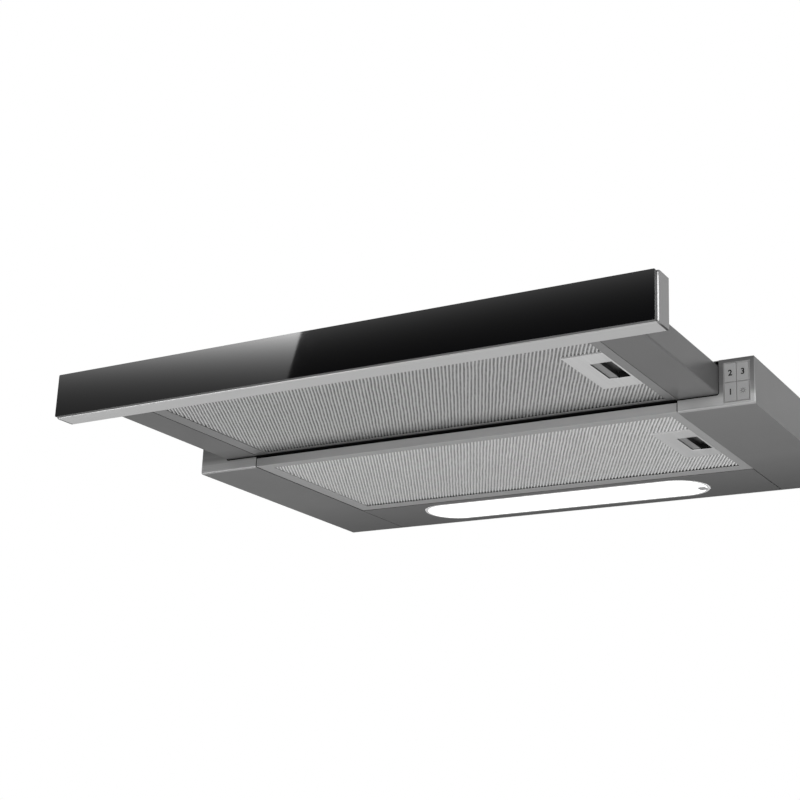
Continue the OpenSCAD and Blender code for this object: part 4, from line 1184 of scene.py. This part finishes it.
# black strips of painted shade, one on each side of the slot
for side, name in ((1, "slot_shade_strip_right"), (-1, "slot_shade_strip_left")):
    strip = extrude_outline(
        name, strip_outline, lambda x, z, s=side: (s * x, strip_front, z), (0, 1, 0), STRIP_DEPTH
    )
    wear(strip, "painted_shade_black")
    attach(strip, "body")
print("glide strips", 2)

# %% [markdown]
# ## The black beads beside and behind the filters
# A thin black bead lies in the gap on either side of each filter, and a wider one under the rear
# edge of the drawer's filter closes the step down to the fixed filter. These beads are painted
# shade for the gaps. Each bead is a low arch, pulled along the gap.

# %% Lay the black beads of painted shade
BEAD_STEPS = 6
SEAM_WIDTH, SEAM_TOP, SEAM_HANG = 0.8 * MM, 1.3 * MM, 1.0 * MM
SEAM_FROM_FRAME, SEAM_END_GAP = 0.45 * MM, 2 * MM
REAR_WIDTH, REAR_HANG, REAR_INSET, REAR_END_GAP = 9.4 * MM, 0.5 * MM, 0.3 * MM, 1 * MM


def bead_section(width, height):
    """A low arch that hangs from a flat top; two numbers for across and up."""
    turns = [math.pi * i / BEAD_STEPS for i in range(BEAD_STEPS + 1)]
    return [(-width / 2 * math.cos(turn), -height * math.sin(turn)) for turn in turns]


# Lays one black bead of painted shade along a gap.
def lay_shade_bead(name, body, section, place, axis, length):
    bead = extrude_outline(name, section, place, axis, length)
    wear(bead, "painted_shade_black")
    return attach(bead, body)


for name, body, frame_node in (
    ("body_shade_bead", "body", "fixed_filter_frame"),
    ("drawer_shade_bead", "drawer", "drawer_filter_frame"),
):
    frame_low, frame_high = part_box(frame_node)
    y, top = frame_low.y + SEAM_END_GAP, frame_low.z + SEAM_TOP
    for side, ending in ((1, "right"), (-1, "left")):
        middle = side * (frame_high.x + SEAM_FROM_FRAME)
        lay_shade_bead(
            name + "_" + ending, body, bead_section(SEAM_WIDTH, SEAM_HANG),
            lambda u, v, m=middle, y=y, t=top: (m + u, y, t + v),
            (0, 1, 0), frame_high.y - frame_low.y - 2 * SEAM_END_GAP,
        )
drawer_low, drawer_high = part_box("drawer_filter_frame")
rear_start = drawer_low.x + REAR_END_GAP
rear_middle = drawer_high.y - REAR_INSET - REAR_WIDTH / 2
lay_shade_bead(
    "rear_shade_bead", "drawer", bead_section(REAR_WIDTH, REAR_HANG),
    lambda u, v: (rear_start, rear_middle + u, drawer_low.z + v),
    (1, 0, 0), drawer_high.x - drawer_low.x - 2 * REAR_END_GAP,
)
print("foam beads", 5)

# %% [markdown]
# ## The painted shade in the finger pockets
# In each latch plate the finger pocket is black behind the bright tab. A thin black cup of painted
# shade lines the front, the back and the far wall of the pocket, and leaves the tab free to slide.

# %% Line the finger pockets with painted shade
POCKET_FROM_RIGHT, POCKET_WIDTH, TAB_WIDTH = 2.2 * MM, 19.5 * MM, 7.8 * MM
POCKET_LENGTH, POCKET_HEIGHT = 41 * MM, 5.6 * MM
LINING, LINING_SPACE = 0.25 * MM, 0.3 * MM


def shade_pocket(name, housing, body):
    """A black cup of painted shade with three walls that is open towards the sliding tab."""
    lowest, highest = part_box(housing)
    x1 = highest.x - POCKET_FROM_RIGHT
    x0 = x1 - POCKET_WIDTH + TAB_WIDTH + LINING_SPACE
    middle = (lowest.y + highest.y) / 2
    y0, y1 = middle - POCKET_LENGTH / 2, middle + POCKET_LENGTH / 2
    outline = [(x0, y0), (x1, y0), (x1, y1), (x0, y1), (x0, y1 - LINING)]
    outline += [(x1 - LINING, y1 - LINING), (x1 - LINING, y0 + LINING), (x0, y0 + LINING)]
    start, height = lowest.z + LINING, POCKET_HEIGHT - 2 * LINING
    cup = extrude_outline(name, outline, lambda x, y: (x, y, start), (0, 0, 1), height)
    wear(cup, "painted_shade_black")
    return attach(cup, body)


shade_pocket("fixed_pocket_shade", "fixed_latch_housing", "body")
shade_pocket("drawer_pocket_shade", "drawer_latch_housing", "drawer")
print("pockets lined", 2)

# %% [markdown]
# ## The rim of the lamp
# The lens is clipped into a thin white rim, which glows less than the lens, and a small grey tab
# at its right end opens it. The rim is a flat band with round ends and the tab a small rectangle
# with round corners, and both stand a little proud of the lens.

# %% Set the rim and the tab
LAMP_LENGTH, LAMP_WIDTH = 332 * MM, 66 * MM
RIM_WIDTH, RIM_SINK, RIM_PLAY, LENS_GAP = 3.2 * MM, 0.05 * MM, 0.4 * MM, 0.02 * MM
TAB_CORNERS = (151.5 * MM, 211.5 * MM, 160.5 * MM, 224 * MM)
TAB_ROUND, TAB_SINK = 2.5 * MM, 0.01 * MM
ROUND_STEPS = 24
lens_low, lens_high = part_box("lamp_lens")
panel_low, panel_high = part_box("lamp_panel")
lens_back = lens_low.z + LENS_GAP


def round_ended(shrink):
    """The lamp's outline, with two round ends, made smaller all round."""
    length, width = LAMP_LENGTH - shrink, LAMP_WIDTH - shrink
    x0, y0 = (lens_low.x + lens_high.x) / 2, (lens_low.y + lens_high.y) / 2
    radius, reach = width / 2, (length - width) / 2
    turns = [math.pi * i / ROUND_STEPS for i in range(ROUND_STEPS + 1)]
    right = [(reach + radius * math.sin(t), -radius * math.cos(t)) for t in turns]
    return [(x0 + x, y0 + y) for x, y in right + [(-x, -y) for x, y in right]]


def at_levels(rings):
    """Lays flat outlines at their heights; rings are (height, outline)."""
    return [[(x, y, z) for x, y in outline] for z, outline in rings]


def lamp_rim():
    """A flat band between two outlines, closed behind."""
    outer, inner = round_ended(RIM_PLAY), round_ended(2 * RIM_WIDTH)
    face = panel_low.z + RIM_SINK
    rings = [(lens_back, outer), (face, outer), (face, inner), (lens_back, inner)]
    rim = loft("lamp_rim", at_levels(rings), ring=True)
    wear(rim, "lamp_rim_white")
    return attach(rim, "body")


lamp_rim()
tab_face = panel_low.z + TAB_SINK
tab = extrude_outline(
    "lamp_tab",
    rounded_outline(*TAB_CORNERS, TAB_ROUND),
    lambda x, y: (x, y, tab_face),
    (0, 0, 1),
    lens_back - tab_face,
)
wear(tab, "tab_lacquer")
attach(tab, "body")
print("lamp rim and tab set")

# %% [markdown]
# ## The lid of the terminal box
# The mains terminals sit in a plastic box on the roof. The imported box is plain, and the real one
# has a lid with rounded corners, a raised rim and two screws. The lid is lofted upwards from
# several outlines, and each screw is a hexagon head on a round washer, made of rings as well.

# %% Lay points round a circle or a hexagon
RING_SIDES = 24


def ring_points(centre, radius, flats=0):
    """Points round a circle, or round a polygon with that many flats laid inside it."""
    points = []
    for i in range(RING_SIDES):
        turn = 2 * math.pi * i / RING_SIDES
        reach = radius
        if flats:
            part = math.pi / flats
            reach = radius * (math.cos(part) / math.cos((turn % (2 * part)) - part))
        points.append((centre[0] + reach * math.cos(turn), centre[1] + reach * math.sin(turn)))
    return points


print("points in a ring", RING_SIDES)

# %% Fit the lid and its two screws
LID_RISE, LID_EDGE, LID_INSET = 2.4 * MM, 0.5 * MM, 0.6 * MM
LID_CORNER, LEAST_CORNER, RIM_BAND, PANEL_DIP = 4 * MM, 1 * MM, 3 * MM, 0.8 * MM
WASHER_RADIUS, WASHER_RISE, WASHER_EDGE = 3.6 * MM, 0.6 * MM, 0.96
HEAD_RADIUS, HEAD_FOOT, HEAD_RISE, HEAD_CROWN = 2.7 * MM, 0.7 * MM, 1.8 * MM, 0.3 * MM
CROWN_SHARE, SCREW_PLACES = 0.78, (0.22, 0.78)
box_low, box_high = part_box("terminal_box")
lid_top = box_high.z + LID_RISE
screw_foot = lid_top - PANEL_DIP


def lid_outline(inset):
    edge, corner = LID_INSET + inset, max(LID_CORNER - inset, LEAST_CORNER)
    return rounded_outline(
        box_low.x + edge, box_low.y + edge, box_high.x - edge, box_high.y - edge, corner
    )


def screw_rings(centre):
    """A round washer and a hexagon head with a turned crown, from below upwards."""
    washer, head = ring_points(centre, WASHER_RADIUS), ring_points(centre, HEAD_RADIUS, flats=6)
    return [
        (screw_foot, washer),
        (screw_foot + WASHER_RISE, ring_points(centre, WASHER_RADIUS * WASHER_EDGE)),
        (screw_foot + HEAD_FOOT, head),
        (screw_foot + HEAD_RISE, head),
        (screw_foot + HEAD_RISE + HEAD_CROWN, ring_points(centre, HEAD_RADIUS * CROWN_SHARE)),
    ]


lid = loft("terminal_lid", at_levels([
    (box_high.z, lid_outline(0)),
    (lid_top - LID_EDGE, lid_outline(0)),
    (lid_top, lid_outline(LID_EDGE)),
    (lid_top, lid_outline(RIM_BAND)),
    (screw_foot, lid_outline(RIM_BAND + PANEL_DIP)),
]))
screw_body = bmesh.new()
for share in SCREW_PLACES:
    centre = (box_low.x + (box_high.x - box_low.x) * share, (box_low.y + box_high.y) / 2)
    add_loft(screw_body, at_levels(screw_rings(centre)))
screws = make_piece("terminal_screws", screw_body)
for piece, finish, slot in (
    (lid, "grey_plastic", "grey_plastic"),
    (screws, "bright_spring_steel", "spring_steel"),
):
    wear(piece, finish)
    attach(piece, "body")
print("terminal lid rises by mm", round(LID_RISE / MM, 1))

# %% [markdown]
# ## The springs behind the buttons and the latches
# A pushed key comes back because a small coil spring stands behind it, and each latch slide has one
# too. The imported coils are stiff, so a pressed key would run through them. Here every coil is
# wound again as a round wire along a helix.

# %% Tools for winding a spring
WIRE_SIDES, STEPS_PER_TURN = 8, 18


def wind_spring(name, fixed_end, free_end, radius, wire, turns):
    """A round wire wound about the line between two points, with flat closed ends."""
    axis = (free_end - fixed_end).normalized()
    up = Vector((0, 0, 1))
    across = axis.cross(up)
    rise = (free_end - fixed_end).length - 2 * wire
    steps = turns * STEPS_PER_TURN
    wire_turns = [2 * math.pi * k / WIRE_SIDES for k in range(WIRE_SIDES)]
    outlines = []
    for i in range(steps + 1):
        turn = 2 * math.pi * i / STEPS_PER_TURN
        outward = up * math.cos(turn) + across * math.sin(turn)
        middle = fixed_end + axis * (wire + rise * i / steps) + outward * (radius - wire)
        outlines.append([
            middle + outward * wire * math.cos(a) + axis * wire * math.sin(a) for a in wire_turns
        ])
    spring = loft(name, outlines, smooth=True)
    wear(spring, "bright_spring_steel")
    return spring


def fit_spring(name, node, carrier, ends, radius, wire, turns):
    """Winds a spring in place of a packed one."""
    fixed_end, free_end = ends
    spring = wind_spring(name, fixed_end, free_end, radius, wire, turns)
    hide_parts(node)
    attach(spring, carrier)
    length = (free_end - fixed_end).length
    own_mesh(spring)
    return length


print("steps in a turn", STEPS_PER_TURN)

# %% Fit the springs
LATCH_TURNS, LATCH_WIRE, LATCH_TRAVEL = 7, 0.25 * MM, 6.5 * MM
KEY_TURNS, KEY_WIRE, KEY_SPRING_RADIUS, KEY_TRAVEL = 5, 0.2 * MM, 1.7 * MM, 2.5 * MM
for place, carrier in (("fixed", "body"), ("drawer", "drawer")):
    node = place + "_latch_spring"
    coil_low, coil_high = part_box(node)
    middle = (coil_low + coil_high) / 2
    ends = [Vector((x, middle.y, middle.z)) for x in (coil_low.x, coil_high.x)]
    length = fit_spring(
        place + "_latch_coil", node, carrier, ends,
        (coil_high.y - coil_low.y) / 2, LATCH_WIRE, LATCH_TURNS,
    )
    print(place, "latch coil in mm", round(length / MM, 2))
coil_low, coil_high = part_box("button_springs")
for key in KEYS:
    key_low, key_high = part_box(key)
    x, z = (key_low.x + key_high.x) / 2, (key_low.z + key_high.z) / 2
    ends = [Vector((x, y, z)) for y in (coil_high.y, coil_low.y)]
    length = fit_spring(
        key + "_coil", "button_springs", "body", ends,
        KEY_SPRING_RADIUS, KEY_WIRE, KEY_TURNS,
    )
print("key coils in mm", round(length / MM, 2))

# %% [markdown]
# ## The marks on the buttons
# The keys carry small printed marks: the three speeds as plain numbers and a lamp sign. The
# numbers come from Blender's own letters, turned to face the front and made into a mesh, with
# a thickness like thick screen ink. The lamp sign is a ring with short rays.

# %% Print the speeds
INK = 0.06 * MM
NUMBER_HEIGHT = 5.4 * MM
CAPITAL_SHARE = 0.729
STROKE_GROWTH = 0.23 * MM
MARKS = {"button_one": "1", "button_two": "2", "button_three": "3"}


def key_centre(node):
    lowest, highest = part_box(node)
    return Vector(((lowest.x + highest.x) / 2, lowest.y, (lowest.z + highest.z) / 2))


def print_number(name, node, text):
    """Blender's own letters as a mesh, turned to face the front and laid on the key."""
    letters = bpy.data.curves.new(name, "FONT")
    letters.body = text
    letters.size = NUMBER_HEIGHT / CAPITAL_SHARE
    letters.align_x, letters.align_y = "CENTER", "CENTER"
    letters.extrude = INK / 2
    letters.offset = STROKE_GROWTH
    shown = bpy.data.objects.new(name, letters)
    scene.collection.objects.link(shown)
    bpy.context.view_layer.update()
    worked_out = shown.evaluated_get(bpy.context.evaluated_depsgraph_get())
    mesh = bpy.data.meshes.new_from_object(worked_out)
    bpy.data.objects.remove(shown)
    mark = bpy.data.objects.new(name, mesh)
    scene.collection.objects.link(mark)
    middle = sum((Vector(c) for c in mark.bound_box), Vector()) / 8
    mesh.transform(Matrix.Translation(-middle))
    mesh.transform(Matrix.Rotation(math.radians(90), 4, "X"))
    mesh.transform(Matrix.Translation(key_centre(node)))
    return mark


for node, text in MARKS.items():
    mark = print_number("mark_" + node, node, text)
    wear(mark, "button_mark_ink")
    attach(mark, node)
print("printed", len(MARKS), "numbers")

# %% Print the lamp sign
SIGN_SIDES, SIGN_IN, SIGN_OUT = 24, 1.0 * MM, 1.45 * MM
RAYS, RAY_HALF, RAY_START, RAY_END = 8, 0.2 * MM, 1.95 * MM, 2.75 * MM


def sign_outlines():
    """The sign's ring in short pieces, then its rays, as flat four-sided outlines."""
    turns = [2 * math.pi * k / SIGN_SIDES for k in range(SIGN_SIDES + 1)]
    for a, b in zip(turns, turns[1:]):
        corners = ((SIGN_IN, a), (SIGN_OUT, a), (SIGN_OUT, b), (SIGN_IN, b))
        yield [(r * math.cos(t), r * math.sin(t)) for r, t in corners]
    for i in range(RAYS):
        t = 2 * math.pi * i / RAYS
        along = Vector((math.cos(t), math.sin(t)))
        across = Vector((-math.sin(t), math.cos(t))) * RAY_HALF
        near, far = along * RAY_START, along * RAY_END
        yield [near - across, far - across, far + across, near + across]


def print_lamp_sign(name, node):
    """Each outline as a thin raised plate of ink."""
    centre = key_centre(node)
    ink = bmesh.new()
    for outline in sign_outlines():
        add_loft(ink, [
            [(centre.x + x, y, centre.z + z) for x, z in outline]
            for y in (centre.y + INK / 2, centre.y - INK / 2)
        ])
    bmesh.ops.remove_doubles(ink, verts=ink.verts, dist=0.001 * MM)
    return make_piece(name, ink)


lamp_sign = print_lamp_sign("mark_button_light", "button_light")
wear(lamp_sign, "button_mark_ink")
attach(lamp_sign, "button_light")
print("lamp sign faces", len(lamp_sign.data.polygons))
